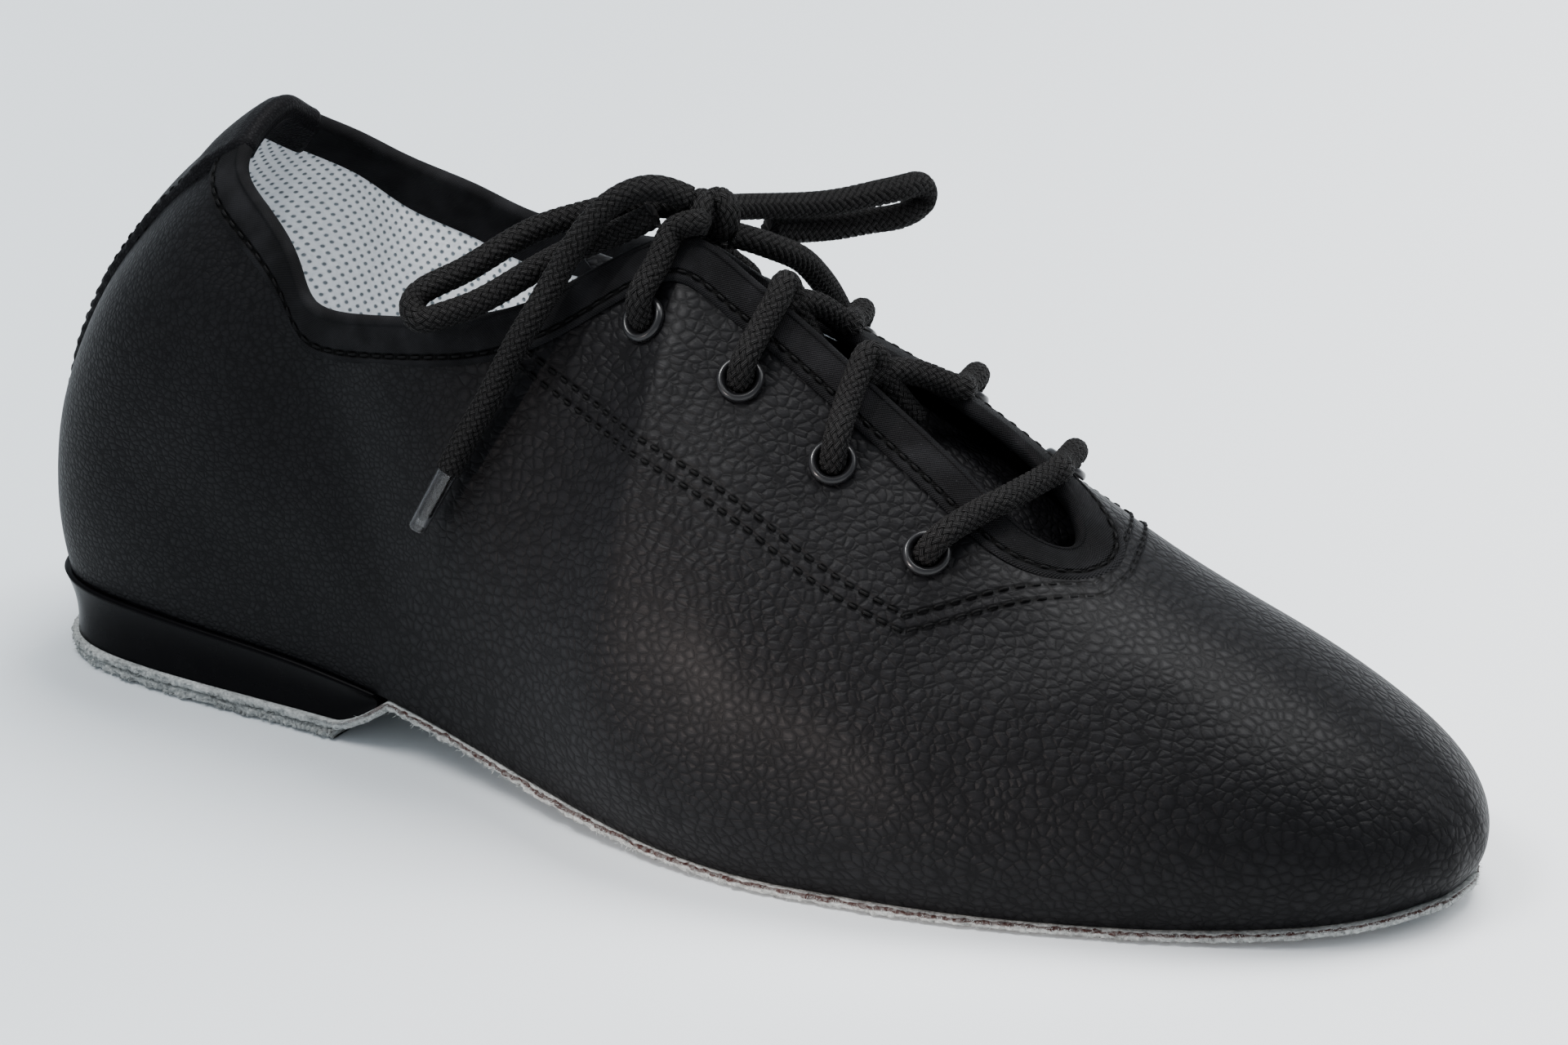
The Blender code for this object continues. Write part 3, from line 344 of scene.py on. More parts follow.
def sole_edge():
    """Closed outline of the sole from the back along the outer side, and its run."""
    x = SOLE_LENGTH * eased(400)
    half = half_breadths(x)
    outer = np.column_stack([x, -half[:, 0]])
    inner = np.column_stack([x, half[:, 1]])[::-1]
    points = np.vstack([outer, inner, outer[:1]])
    return points, run_along(points)


EDGE_POINTS, EDGE_RUN = sole_edge()
PERIMETER = EDGE_RUN[-1]


def stations():
    """Every strip in order: its place on the sole's edge less an even pace, the end
    on the throat or collar, then its leans and fullness."""
    table = []
    half = len(EDGE_POINTS) // 2
    for index, row in enumerate(OUTER_STRIPS + [TOE_STRIP] + INNER_STRIPS):
        x = row[0] * SOLE_LENGTH
        if index == 0:
            run = (EDGE_RUN[-2] - PERIMETER) / 2
        elif row is TOE_STRIP:
            run = (EDGE_RUN[half - 1] + EDGE_RUN[half]) / 2
        elif index < len(OUTER_STRIPS):
            run = np.interp(x, EDGE_POINTS[:half, 0], EDGE_RUN[:half])
        else:
            run = np.interp(-x, -EDGE_POINTS[half:-1, 0], EDGE_RUN[half:-1])
        pace = PERIMETER * index / (len(OUTER_STRIPS) + 1 + len(INNER_STRIPS))
        edge_x = row[1] * SOLE_LENGTH
        edge_z = seat(edge_x) + row[3] * UPPER_HEIGHT
        table.append((run - pace, edge_x, row[2] * BALL_HALF, edge_z) + row[4:])
    return np.array(table, float)


STATIONS = stations()
ROUND = len(STATIONS)
TOE_STATION = len(OUTER_STRIPS)


def edge_at(run):
    """Points (x, y) on the sole's edge after a way round it."""
    return np.column_stack([np.interp(run, EDGE_RUN, EDGE_POINTS[:, k]) for k in (0, 1)])


def foot_line(u, row):
    """Points on the sole's edge at the station numbers, level with the floor."""
    return edge_at(np.mod(row[:, 0] + PERIMETER * u / ROUND, PERIMETER))


def outward(curve):
    """Level unit vectors pointing out of a closed curve of (x, y) points."""
    along = np.roll(curve, -4, 0) - np.roll(curve, 4, 0)
    normal = np.column_stack([along[:, 1], -along[:, 0], np.zeros(len(curve))])
    return normal / np.linalg.norm(normal, axis=1)[:, None]


FINE = 40
FINE_AT = np.arange(ROUND * FINE) / FINE
FINE_ROWS = spline(range(ROUND), STATIONS, FINE_AT, ROUND)
FOOT_OUT = outward(foot_line(FINE_AT, FINE_ROWS))
EDGE_OUT = outward(FINE_ROWS[:, 1:3])


def blended(table, u):
    """Rows of a periodic fine table, read between its entries."""
    place = u * FINE
    low = np.floor(place).astype(int)
    part = (place - low)[:, None]
    return table[low % len(table)] * (1 - part) + table[(low + 1) % len(table)] * part


def strips(u):
    """Four control points of the strip at each station number in u."""
    u = np.mod(np.asarray(u, float), ROUND)
    row = spline(range(ROUND), STATIONS, u, ROUND)
    foot = foot_line(u, row)
    foot = np.column_stack([foot, seat(foot[:, 0])])
    edge = row[:, 1:4]
    chord = np.linalg.norm(edge - foot, axis=1)[:, None]
    lean = np.radians(row[:, (4, 6)])
    up = np.array([0.0, 0.0, 1.0])
    rise = blended(FOOT_OUT, u) * np.sin(lean[:, :1]) + up * np.cos(lean[:, :1])
    fall = blended(EDGE_OUT, u) * np.sin(lean[:, 1:]) - up * np.cos(lean[:, 1:])
    return foot, foot + chord * row[:, 5:6] * rise, edge + chord * row[:, 7:8] * fall, edge


def even_columns(count):
    """Station numbers of columns spread evenly over the sole's and the top's edge."""
    at = np.append(FINE_AT, ROUND)
    foot, _, _, edge = strips(at)
    steps = sum(np.linalg.norm(np.diff(line, axis=0), axis=1) for line in (foot, edge))
    run = np.concatenate([[0], np.cumsum(steps)])
    return np.interp(np.arange(count) * run[-1] / count, run, at)


def skin(u, t, out=0.0):
    """Points on the last's form: station number, share of the way up, offset."""
    u, t = np.broadcast_arrays(np.asarray(u, float), np.asarray(t, float))
    shape = u.shape

    def place(at_u, at_t):
        a, b, c, d = strips(at_u.ravel())
        s = at_t.reshape(-1, 1)
        return (1 - s)**3 * a + 3 * (1 - s)**2 * s * b + 3 * (1 - s) * s * s * c + s**3 * d

    side = 1 / FINE
    down, upper = np.clip(t - 0.02, 0, 0.96), np.clip(t + 0.02, 0.04, 1)
    across = place(u + side, t) - place(u - side, t)
    climb = place(u, upper) - place(u, down)
    normal = np.cross(across, climb)
    normal /= np.linalg.norm(normal, axis=1)[:, None]
    out = np.broadcast_to(np.asarray(out, float), shape).reshape(-1, 1)
    return (place(u, t) + normal * out).reshape(shape + (3,))


def skin_point(u, t, out=0.0):
    """One point on the last's form."""
    return skin([[u]], [[t]], out)[0, 0]


def level_below(u, depth):
    """Share of the way up at a depth under the edge, measured on the strip."""
    u = np.asarray(u, float)
    depth = np.broadcast_to(depth, u.shape)
    steps = np.linspace(1, 0, 41)
    grid = skin(u[None, :], steps[:, None])
    run = np.vstack([np.zeros(len(u)), np.cumsum(np.linalg.norm(np.diff(grid, axis=0), axis=2), 0)])
    return np.array([np.interp(depth[i], run[:, i], steps) for i in range(len(u))])


def rim_frame(u):
    """Points of the top edge, with the directions over it and out of the wall."""
    edge = np.ones_like(u)
    rim = skin(u, edge)
    away = unit(rim - skin(u, level_below(u, RIM_DEPTH)))
    return rim, away, unit(skin(u, edge, 0.001) - rim)


def beside_back_seam(level, reach):
    """Station numbers at distances from the back seam, at a share of the way up."""
    run = run_along(skin(BACK_RING, np.full_like(BACK_RING, level)))
    return np.interp(np.interp(0, BACK_RING, run) + reach, run, BACK_RING)


def station_at(share, inner):
    """Station number whose strip ends at a share of the length, in the throat."""
    first, last = (TOE_STATION, ROUND - 6) if inner else (8, TOE_STATION)
    at = np.linspace(first, last, 400)
    x = spline(range(ROUND), STATIONS, at, ROUND)[:, 1] / SOLE_LENGTH
    order = np.argsort(x)
    return float(np.interp(share, x[order], at[order]))


def nearest_on_skin(points):
    """Station numbers and shares of the way up nearest to the points."""
    u = np.arange(0, ROUND, 0.05)
    t = np.linspace(0, 1, 121)
    grid = skin(u[None, :], t[:, None])
    found = []
    for point in np.asarray(points, float):
        gap = np.linalg.norm(grid - point, axis=2)
        row, column = np.unravel_index(gap.argmin(), gap.shape)
        found.append((u[column], t[row]))
    return np.array(found)


def shifted(points):
    """Move points measured from the back of the heel to the shoe's origin."""
    return np.asarray(points, float) - np.array([HEEL_CENTRE, 0, 0])


def smooth_route(points, spacing, corners=()):
    """Evenly spaced points on a curve through the route, sharp at its corners."""
    points = np.asarray(points, float)
    parts = []
    cuts = [0] + [c for c in corners if 0 < c < len(points) - 1] + [len(points) - 1]
    for start, end in zip(cuts, cuts[1:]):
        piece = points[start:end + 1]
        run = run_along(piece)
        count = max(2, round(run[-1] / spacing) + 1)
        if len(piece) < 3:
            at = np.linspace(0, 1, count)[:, None]
            curve = piece[0] * (1 - at) + piece[-1] * at
        else:
            curve = spline(run, piece, np.linspace(0, run[-1], count))
        parts.append(curve if end == cuts[-1] else curve[:-1])
    return np.vstack(parts)


def unit(vectors):
    """Vectors of length one, along the last axis."""
    return vectors / np.maximum(np.linalg.norm(vectors, axis=-1, keepdims=True), 1e-12)


class Field:
    """A number in a shader, with ordinary arithmetic."""

    def __init__(self, tree, socket):
        self.tree = tree
        self.socket = socket

    def maths(self, operation, *others, first=None):
        node = self.tree.nodes.new("ShaderNodeMath")
        node.operation = operation
        values = ((self,) if first is None else (first, self)) + others
        for place, value in zip(node.inputs, values):
            if isinstance(value, Field):
                self.tree.links.new(value.socket, place)
            else:
                place.default_value = value
        return Field(self.tree, node.outputs[0])

    def __add__(self, other):
        return self.maths("ADD", other)

    __radd__ = __add__

    def __mul__(self, other):
        return self.maths("MULTIPLY", other)

    __rmul__ = __mul__

    def __sub__(self, other):
        return self.maths("SUBTRACT", other)

    def __rsub__(self, other):
        return self.maths("SUBTRACT", first=other)

    def __truediv__(self, other):
        return self.maths("DIVIDE", other)

    def __pow__(self, other):
        return self.maths("POWER", other)

    def __abs__(self):
        return self.maths("ABSOLUTE")

    def clamped(self):
        return self.maths("MINIMUM", 1.0).maths("MAXIMUM", 0.0)

    def ramp(self, low, high):
        """0 below low and 1 above high, straight between."""
        return ((self - low) / (high - low)).clamped()

    def soft(self, low, high):
        """0 below low and 1 above high, eased between."""
        r = self.ramp(low, high)
        return r * r * (3.0 - 2.0 * r)


class Finish:
    """A material under construction."""

    def __init__(self, name, **constants):
        self.material = bpy.data.materials.new(name)
        self.material.use_nodes = True
        self.tree = self.material.node_tree
        self.shader = self.tree.nodes["Principled BSDF"]
        for label, value in constants.items():
            self.shader.inputs[label.replace("_", " ")].default_value = value

    def node(self, kind, inputs=None, **settings):
        node = self.tree.nodes.new(kind)
        for label, value in settings.items():
            setattr(node, label, value)
        for label, value in (inputs or {}).items():
            socket = value.socket if isinstance(value, Field) else value
            if isinstance(socket, bpy.types.NodeSocket):
                self.tree.links.new(socket, node.inputs[label])
            else:
                node.inputs[label].default_value = value
        return node

    def number(self, kind, output, inputs=None, **settings):
        return Field(self.tree, self.node(kind, inputs, **settings).outputs[output])

    def place(self):
        """Position on the shoe itself."""
        return self.node("ShaderNodeTexCoord").outputs["Object"]

    def mapped(self, vector, scale, turn=(0, 0, 0)):
        inputs = {"Vector": vector, "Scale": scale, "Rotation": turn}
        return self.node("ShaderNodeMapping", inputs).outputs[0]

    def parts(self, vector):
        node = self.node("ShaderNodeSeparateXYZ", {"Vector": vector})
        return [Field(self.tree, node.outputs[k]) for k in range(3)]

    def uv(self):
        return self.parts(self.node("ShaderNodeUVMap", uv_map="run").outputs["UV"])

    def attribute(self, name):
        return self.number("ShaderNodeAttribute", "Fac", attribute_name=name)

    def noise(self, vector, scale, detail=2.0, roughness=0.5):
        return self.number("ShaderNodeTexNoise", "Fac",
                           {"Vector": vector, "Scale": scale, "Detail": detail, "Roughness": roughness})

    def warped(self, vector, scale, amount):
        """The position moved about by a slow noise."""
        cloud = self.node("ShaderNodeTexNoise", {"Vector": vector, "Scale": scale, "Detail": 2.0})
        inputs = {0: cloud.outputs["Color"], 1: (0.5, 0.5, 0.5)}
        centred = self.node("ShaderNodeVectorMath", inputs, operation="SUBTRACT")
        inputs = {0: centred.outputs[0], 1: (amount,) * 3, 2: vector}
        return self.node("ShaderNodeVectorMath", inputs, operation="MULTIPLY_ADD").outputs[0]

    def mix(self, factor, low, high):
        """A colour between two, each a triple or a socket."""
        node = self.node("ShaderNodeMix", {"Factor": factor}, data_type="RGBA")
        for socket, value in ((node.inputs[6], low), (node.inputs[7], high)):
            if isinstance(value, bpy.types.NodeSocket):
                self.tree.links.new(value, socket)
            else:
                socket.default_value = (*value, 1.0)
        return node.outputs[2]

    def feed(self, label, value):
        socket = value.socket if isinstance(value, Field) else value
        self.tree.links.new(socket, self.shader.inputs[label])

    def bump(self, height, distance):
        inputs = {"Height": height, "Strength": 1.0, "Distance": distance}
        self.feed("Normal", self.node("ShaderNodeBump", inputs).outputs["Normal"])


def make_leather(name, settings, grain=1.0, seams=False, shine=1.0, tint=1.0):
    """Pebbled black leather with a low sheen, painted shade darkening its creases and needle holes; seams
    sink where asked.
    """
    leather = Finish(name, IOR=1.0 + (settings.leather_ior - 1.0) * shine, Specular_IOR_Level=0.5,
                     Coat_IOR=1.0 + 0.30 * shine, Coat_Roughness=0.42)
    place = leather.place()
    stretched = leather.mapped(place, (0.80, 1.0, 1.0), (0.0, 0.25, 0.3))
    uneven = leather.noise(place, 24.0, 2.0).soft(0.38, 0.62)
    toe = leather.parts(place)[0].soft(0.02, 0.10)
    lines = leather.noise(leather.mapped(place, (0.25, 1.3, 1.3), (0.35, 0.5, 0.25)), 650.0, 2.0)

    def pebbled(vector, scale):
        """Rounded pebbles with a narrow crease between them."""
        inputs = {"Vector": vector, "Scale": scale, "Randomness": 0.85}
        gap = leather.number("ShaderNodeTexVoronoi", "Distance", inputs, feature="DISTANCE_TO_EDGE")
        dome = leather.number("ShaderNodeTexVoronoi", "Distance", inputs, feature="F1")
        return (gap.ramp(0.0, 0.34).maths("POWER", 0.6) - dome * dome * 0.55).clamped()

    wide = settings.grain_per_metre * grain
    big = pebbled(leather.warped(stretched, 260.0, 0.0012), wide)
    mid = pebbled(leather.warped(stretched, 400.0, 0.0009), wide * 1.6)
    fine = leather.noise(place, 2400.0, 2.0)
    share = (toe * 0.62 + uneven * 0.38).soft(0.46, 0.60)
    domes = big * share + mid * (1.0 - share) * 0.66
    creases = (1.0 - abs(lines - 0.5) * 12.0).clamped()
    height = domes + fine * 0.10 - creases * 0.14
    light = tuple(c * tint for c in (0.0044, 0.0043, 0.0049))
    # Painted shade: the base colour is lighter on the pebbles' tops and darker in the creases between them
    tone = (big * share + mid * (1.0 - share)) * 0.45 + 0.55
    rough = 0.58 - tone * 0.10 - toe * 0.06
    leather.feed("Coat Weight", (tone - 0.2) * 0.26)
    if seams:
        side = leather.attribute("seam_side")
        along = leather.attribute("seam_run")
        lane = abs(side - SEAM_SPACING / 2)
        groove = 1.0 - lane.soft(0.15, 0.75)
        pitch = (along / settings.stitch_pitch).maths("FRACT")
        hole = (1.0 - abs(pitch - 0.5).soft(0.07, 0.2)) * (1.0 - lane.soft(0.2, 0.48))
        height = height * (1.0 - groove * 0.7) - groove * 1.5 - hole * 3.0
        # Painted shade: the needle holes are darkened in the base colour
        tone = tone * (1.0 - hole)
        rough = rough + hole * 0.3
    leather.feed("Base Color", leather.mix(tone, BLACK, light))
    leather.feed("Roughness", rough)
    leather.bump(height, settings.grain_depth)
    return leather.material


def make_tape(name, settings):
    """Close plain weave with a faint shine, finer round the collar, with painted glints and painted shade
    in its colour.
    """
    tape = Finish(name, IOR=1.2, Specular_IOR_Level=0.25)
    run, across, _ = tape.uv()
    throat = tape.attribute("throat")
    thread = 0.42
    warp = (run * 2 * math.pi / thread).maths("SINE")
    weft = (across * 2 * math.pi / thread).maths("SINE")
    weave = warp * weft
    speck = tape.noise(tape.place(), 2600.0, 1.0)
    fluff = tape.noise(tape.place(), 160.0, 3.0)
    groove = 1.0 - abs(across - settings.tape_seam).soft(0.15, 0.7)
    pitch = (run / settings.stitch_pitch).maths("FRACT")
    hole = groove * (1.0 - abs(pitch - 0.5).soft(0.08, 0.2))
    height = weave * (0.25 + throat * 0.75) + fluff * 3.0 - groove * 3.0 - hole * 4.0
    # Painted highlight: bright specks round the throat stand for glints; below, painted shade darkens the
    # weave's gaps and the seam's groove
    painted_glint = speck.soft(0.70, 0.78) * throat
    shade = fluff.soft(0.3, 0.8) * 0.30 + weave.ramp(-1.0, 1.0) * 0.30
    shade = (shade + painted_glint * 0.6 - groove * 0.5).clamped()
    tape.feed("Base Color", tape.mix(shade, BLACK, (0.0190, 0.0190, 0.0210)))
    tape.feed("Roughness", 0.80 - throat * 0.14)
    tape.bump(height, 0.00010)
    return tape.material


def make_lace_finish(name):
    """Braided cord: crossing carriers of fine yarn, with painted shade in the valleys and painted
    highlights on the yarns.
    """
    lace = Finish(name, IOR=1.15, Specular_IOR_Level=0.5)
    run, around, _ = lace.uv()
    first = around * CARRIERS + run / CARRIER_PITCH
    second = around * CARRIERS - run / CARRIER_PITCH
    over = abs((first.maths("FLOOR") + second.maths("FLOOR")).maths("MODULO", 2.0))
    rib_first = abs(first.maths("FRACT") - 0.5) * 2.0
    rib_second = abs(second.maths("FRACT") - 0.5) * 2.0
    rib = rib_first * over + rib_second * (1.0 - over)
    yarn = (first * over + second * (1.0 - over)) * 4.0
    yarns = (yarn * 2 * math.pi).maths("SINE")
    height = (1.0 - rib * rib) + yarns * 0.20
    fuzz = lace.noise(lace.place(), 2200.0, 2.0)
    # Painted shade in the braid's valleys and painted highlights on the carriers' backs and yarns; the
    # fuzz adds random tone
    tone = ((1.0 - rib * rib) * (0.42 + yarns * 0.34) + fuzz * 0.40 - 0.17).clamped()
    lace.feed("Base Color", lace.mix(tone, (0.0001, 0.0001, 0.0001), (0.0330, 0.0320, 0.0320)))
    lace.feed("Roughness", 0.46 + fuzz * 0.2)
    lace.bump(height + fuzz * 0.3, 0.00050)
    return lace.material


def make_lining(name):
    """White nonwoven lining with rows of small round perforations."""
    lining = Finish(name, IOR=1.45, Specular_IOR_Level=0.2)
    run, across, _ = lining.uv()
    rows = across / ROW_PITCH
    shift = (rows.maths("FLOOR") * 0.5).maths("FRACT")
    cell_x = (run / HOLE_PITCH + shift).maths("FRACT") - 0.5
    cell_y = rows.maths("FRACT") - 0.5
    away = ((cell_x * HOLE_PITCH) ** 2.0 + (cell_y * ROW_PITCH) ** 2.0).maths("SQRT")
    hole = 1.0 - away.soft(0.22, 0.56)
    fibre = lining.noise(lining.place(), 900.0, 4.0)
    light = lining.mix(fibre.soft(0.25, 0.75), (0.80, 0.83, 0.86), (0.93, 0.95, 0.97))
    lining.feed("Base Color", lining.mix(hole, light, (0.16, 0.19, 0.21)))
    lining.feed("Roughness", 0.8 + hole * 0.15)
    lining.bump(fibre * 0.4 - hole * 1.6, 0.00020)
    return lining.material


def make_suede(name):
    """Pale grey split suede with a loose nap."""
    suede = Finish(name, IOR=1.4, Specular_IOR_Level=0.1)
    place = suede.place()
    nap = suede.noise(place, 1500.0, 5.0, 0.65)
    cloud = suede.noise(place, 120.0, 3.0)
    edge = suede.attribute("edge")
    streak = suede.noise(suede.mapped(place, (400.0, 400.0, 2600.0)), 1.0, 3.0)
    tone = (nap * 0.55 + cloud * 0.25 + streak * 0.2).soft(0.3, 0.75)
    grey = suede.mix(tone, (0.15, 0.157, 0.154), (0.56, 0.585, 0.57))
    front = suede.parts(place)[0].soft(0.02, 0.05)
    # A dark brown band on the upper half of the torn edge at the forepart, just under the leather
    dark_brown_band = edge.soft(0.5, 0.75) * (nap.soft(0.3, 0.6) * 0.5 + 0.5) * front
    suede.feed("Base Color", suede.mix(dark_brown_band, grey, (0.035, 0.014, 0.012)))
    suede.feed("Roughness", 0.9 + nap * 0.08)
    suede.bump(nap + cloud, 0.00040)
    return suede.material


def make_plain(name, colour, roughness, bumps=0.0, scale=900.0, **constants):
    """One colour, with a slight unevenness."""
    plain = Finish(name, **constants)
    wear = plain.noise(plain.place(), scale, 3.0)
    lighter = tuple(min(1.0, c * 1.35 + 0.001) for c in colour)
    plain.feed("Base Color", plain.mix(wear, colour, lighter))
    plain.feed("Roughness", wear * 0.12 + (roughness - 0.06))
    if bumps:
        plain.bump(wear, bumps)
    return plain.material


def link(obj):
    bpy.context.scene.collection.objects.link(obj)
    return obj


def cell_corners(i, j, k, columns):
    """Numbers of a grid cell's four corners, k being the column after j."""
    near, far = i * columns, (i + 1) * columns
    return np.stack([near + j, near + k, far + k, far + j], -1)


def surface(name, points, material, uv=None, wrap=False, attributes=None):
    """A smooth grid of points, row by row; wrap closes each row on itself."""
    rows, columns = points.shape[:2]
    mesh = bpy.data.meshes.new(name)
    last = columns if wrap else columns - 1
    i, j = np.meshgrid(np.arange(rows - 1), np.arange(last), indexing="ij")
    faces = cell_corners(i, j, (j + 1) % columns, columns).reshape(-1, 4)
    mesh.from_pydata(points.reshape(-1, 3).tolist(), [], faces.tolist())
    if uv is not None:
        layer = mesh.uv_layers.new(name="run")
        picks = cell_corners(i, j, j + 1, uv.shape[1]).reshape(-1)
        layer.data.foreach_set("uv", uv.reshape(-1, 2)[picks].ravel())
    for label, values in (attributes or {}).items():
        layer = mesh.attributes.new(label, "FLOAT", "POINT")
        layer.data.foreach_set("value", np.asarray(values, np.float32).ravel())
    mesh.shade_smooth()
    mesh.materials.append(material)
    return link(bpy.data.objects.new(name, mesh))


def seated(obj, slot, *nodes):
    """Give a finished piece to the frame."""
    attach(obj, "root")
    if nodes:
        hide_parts(*nodes)


def merged(name, objects):
    """Join pieces of one material into one object."""
    base = objects[0]
    with bpy.context.temp_override(active_object=base, object=base, selected_objects=objects,
                                   selected_editable_objects=objects):
        bpy.ops.object.join()
    base.name = name
    base.data.name = name
    return base


def runs(points, axis):
    """Millimetres travelled along an axis of a grid."""
    steps = np.linalg.norm(np.diff(points, axis=axis), axis=2)
    total = np.cumsum(steps, axis=axis)
    start = np.zeros_like(np.take(total, [0], axis=axis))
    return np.concatenate([start, total], axis=axis) / MM


def closed_uv(points, across):
    """Run round the grid and run up it, in millimetres, with the seam's own column."""
    ring = np.concatenate([points, points[:, :1]], axis=1)
    middle = runs(ring, 1)[points.shape[0] // 2]
    return np.stack([np.broadcast_to(middle, ring.shape[:2]),
                     np.concatenate([across, across[:, :1]], axis=1)], -1)


def seam_line():
    """The middle of the eyestay's double seam: station number and level of each point."""
    corners_at = nearest_on_skin(np.array(SEAM) * MM)
    return nearest_on_skin_fine(smooth_route(skin(*corners_at.T), SEAM_STEP, SEAM_CORNERS))


def nearest_on_skin_fine(points):
    """As nearest_on_skin for points in a row, refined on the surface by small steps."""
    every = 8
    place = nearest_on_skin(points[::every])
    at = np.arange(len(points))
    u, t = (np.interp(at, at[::every], column) for column in place.T)
    for _ in range(8):
        base = skin(u, t)
        du = (skin(u + 0.01, t) - base) / 0.01
        dt = (skin(u, np.clip(t + 0.002, 0, 1)) - base) / 0.002
        gap = points - base
        a, b, c = (du * du).sum(1), (du * dt).sum(1), (dt * dt).sum(1)
        p, q = (gap * du).sum(1), (gap * dt).sum(1)
        det = np.maximum(a * c - b * b, 1e-16)
        u = u + np.clip((p * c - q * b) / det, -0.3, 0.3)
        t = np.clip(t + np.clip((q * a - p * b) / det, -0.1, 0.1), 0, 0.998)
    return np.column_stack([u, t])


def polyline_fields(points, line):
    """Distance to a line on the surface and the run along it (mm), per point."""
    flat = points.reshape(-1, 3)
    side = np.full(len(flat), SEAM_FAR)
    run = np.zeros(len(flat))
    coarse = line[::2]
    lengths = run_along(coarse) / MM
    near = np.zeros(len(flat), bool)
    for middle in coarse[::12]:
        near |= np.linalg.norm(flat - middle, axis=1) < SEAM_REACH
    index = np.nonzero(near)[0]
    at_once = 4000
    for block in np.array_split(index, max(1, len(index) // at_once)):
        p = flat[block]
        a, b = coarse[:-1], coarse[1:]
        way = b - a
        size = (way * way).sum(1)
        rel = p[:, None] - a[None]
        s = np.clip((rel * way[None]).sum(2) / size, 0, 1)
        off = rel - way[None] * s[..., None]
        gap = np.linalg.norm(off, axis=2)
        k = gap.argmin(1)
        rows = np.arange(len(p))
        side[block] = gap[rows, k] / MM
        run[block] = lengths[k] + s[rows, k] * np.sqrt(size[k]) / MM
    return side.reshape(points.shape[:2]), run.reshape(points.shape[:2])


def segment_distance(points, start, end):
    """Distance of points from a straight segment, and the share along it."""
    start, end = np.array(start) * MM, np.array(end) * MM
    way = end - start
    s = np.clip(((points - start) @ way) / (way @ way), -0.3, 1.3)
    nearest = start + np.clip(s, 0, 1)[..., None] * way
    return np.linalg.norm(points - nearest, axis=-1), s


def leather_relief(points):
    """Height of the leather's own folds, sunken eyelets and soft unevenness."""
    height = np.zeros(points.shape[:2])
    for start, end, width, depth in FOLDS:
        gap, _ = segment_distance(points, start, end)
        height -= depth * MM * np.exp(-(gap / (width * MM))**2)
    sink_depth, sink_width, waviness = 0.00035, 0.0055, 0.00012
    for _, middle, _ in eyelet_seats():
        gap = np.linalg.norm(points - middle, axis=2)
        height -= sink_depth * np.exp(-(gap / sink_width)**2)
    x, y, z = (points[..., k] / MM for k in range(3))
    height += waviness * np.sin(x / 9.0 + 1.3 * np.sin(z / 11.0)) * np.sin(z / 7.0 + y / 13.0)
    return height


def eyelet_seats():
    """Name, middle and outward direction of each eyelet, top one first on each side."""
    seats = []
    for side, rows in EYELET_ROWS.items():
        for number, (share, inset) in enumerate(rows, 1):
            u = station_at(share, side == "inner")
            t = float(level_below([u], EYELET_INSET * inset)[0])
            middle = skin_point(u, t)
            way = skin_point(u, t, 0.001) - middle
            seats.append((f"eyelet_{side}_{number}", middle, way / np.linalg.norm(way)))
    return seats


def build_upper(settings):
    """The leather's outside, from under the sole's edge to the tape."""
    tuck, tuck_rise = 0.004, 0.0001
    u = even_columns(settings.columns)
    t = np.linspace(0, 1, settings.rows)[:, None] * level_below(u, RIM_DEPTH)[None]
    uu = np.broadcast_to(u, t.shape)
    base = skin(uu, t)
    points = skin(uu, t, leather_relief(base))
    side, run = polyline_fields(base, skin(*seam_line().T))
    tucked = points[:1] - unit(blended(FOOT_OUT, u)) * tuck
    tucked[..., 2] += tuck_rise
    points = np.concatenate([tucked, points])
    attributes = {"seam_side": np.vstack([side[:1], side]), "seam_run": np.vstack([run[:1], run])}
    leather = make_leather("black_leather", settings, seams=True)
    shell = surface("upper_leather", shifted(points), leather, wrap=True, attributes=attributes)
    seated(shell, "black_leather", "upper")


def build_lining():
    """The perforated lining, with the insole of the same cloth."""
    u = even_columns(420)
    t = np.linspace(0.0, 1.0, 61)[:, None] * level_below(u, 0.002)[None]
    uu = np.broadcast_to(u, t.shape)
    points = skin(uu, t, -WALL)[:, ::-1]
    lining = make_lining("white_lining")
    wall = surface("lining", shifted(points), lining, uv=closed_uv(points, runs(points, 0)), wrap=True)
    seated(wall, "white_sock")
    inset = WALL + 0.0002
    x = inset * 1.4 + (SOLE_LENGTH - 4.2 * inset) * eased(90)
    half = np.min([half_breadths(x + step) for step in (-2.0 * inset, 0, 2.0 * inset)], 0) - inset
    across = np.linspace(0, 1, 40)
    y = -half[:, :1] + half.sum(1)[:, None] * across
    xx = np.repeat(x[:, None], len(across), 1)
    edge_lift = 0.0016 * (np.abs(across - 0.5) * 2)**6
    z = seat(xx) + INSOLE_THICKNESS + edge_lift
    sock = surface("insole_sock", shifted(np.stack([xx, y, z], 2)), lining,
                   uv=np.stack([xx / MM, y / MM], 2))
    seated(sock, "white_sock", "insole")


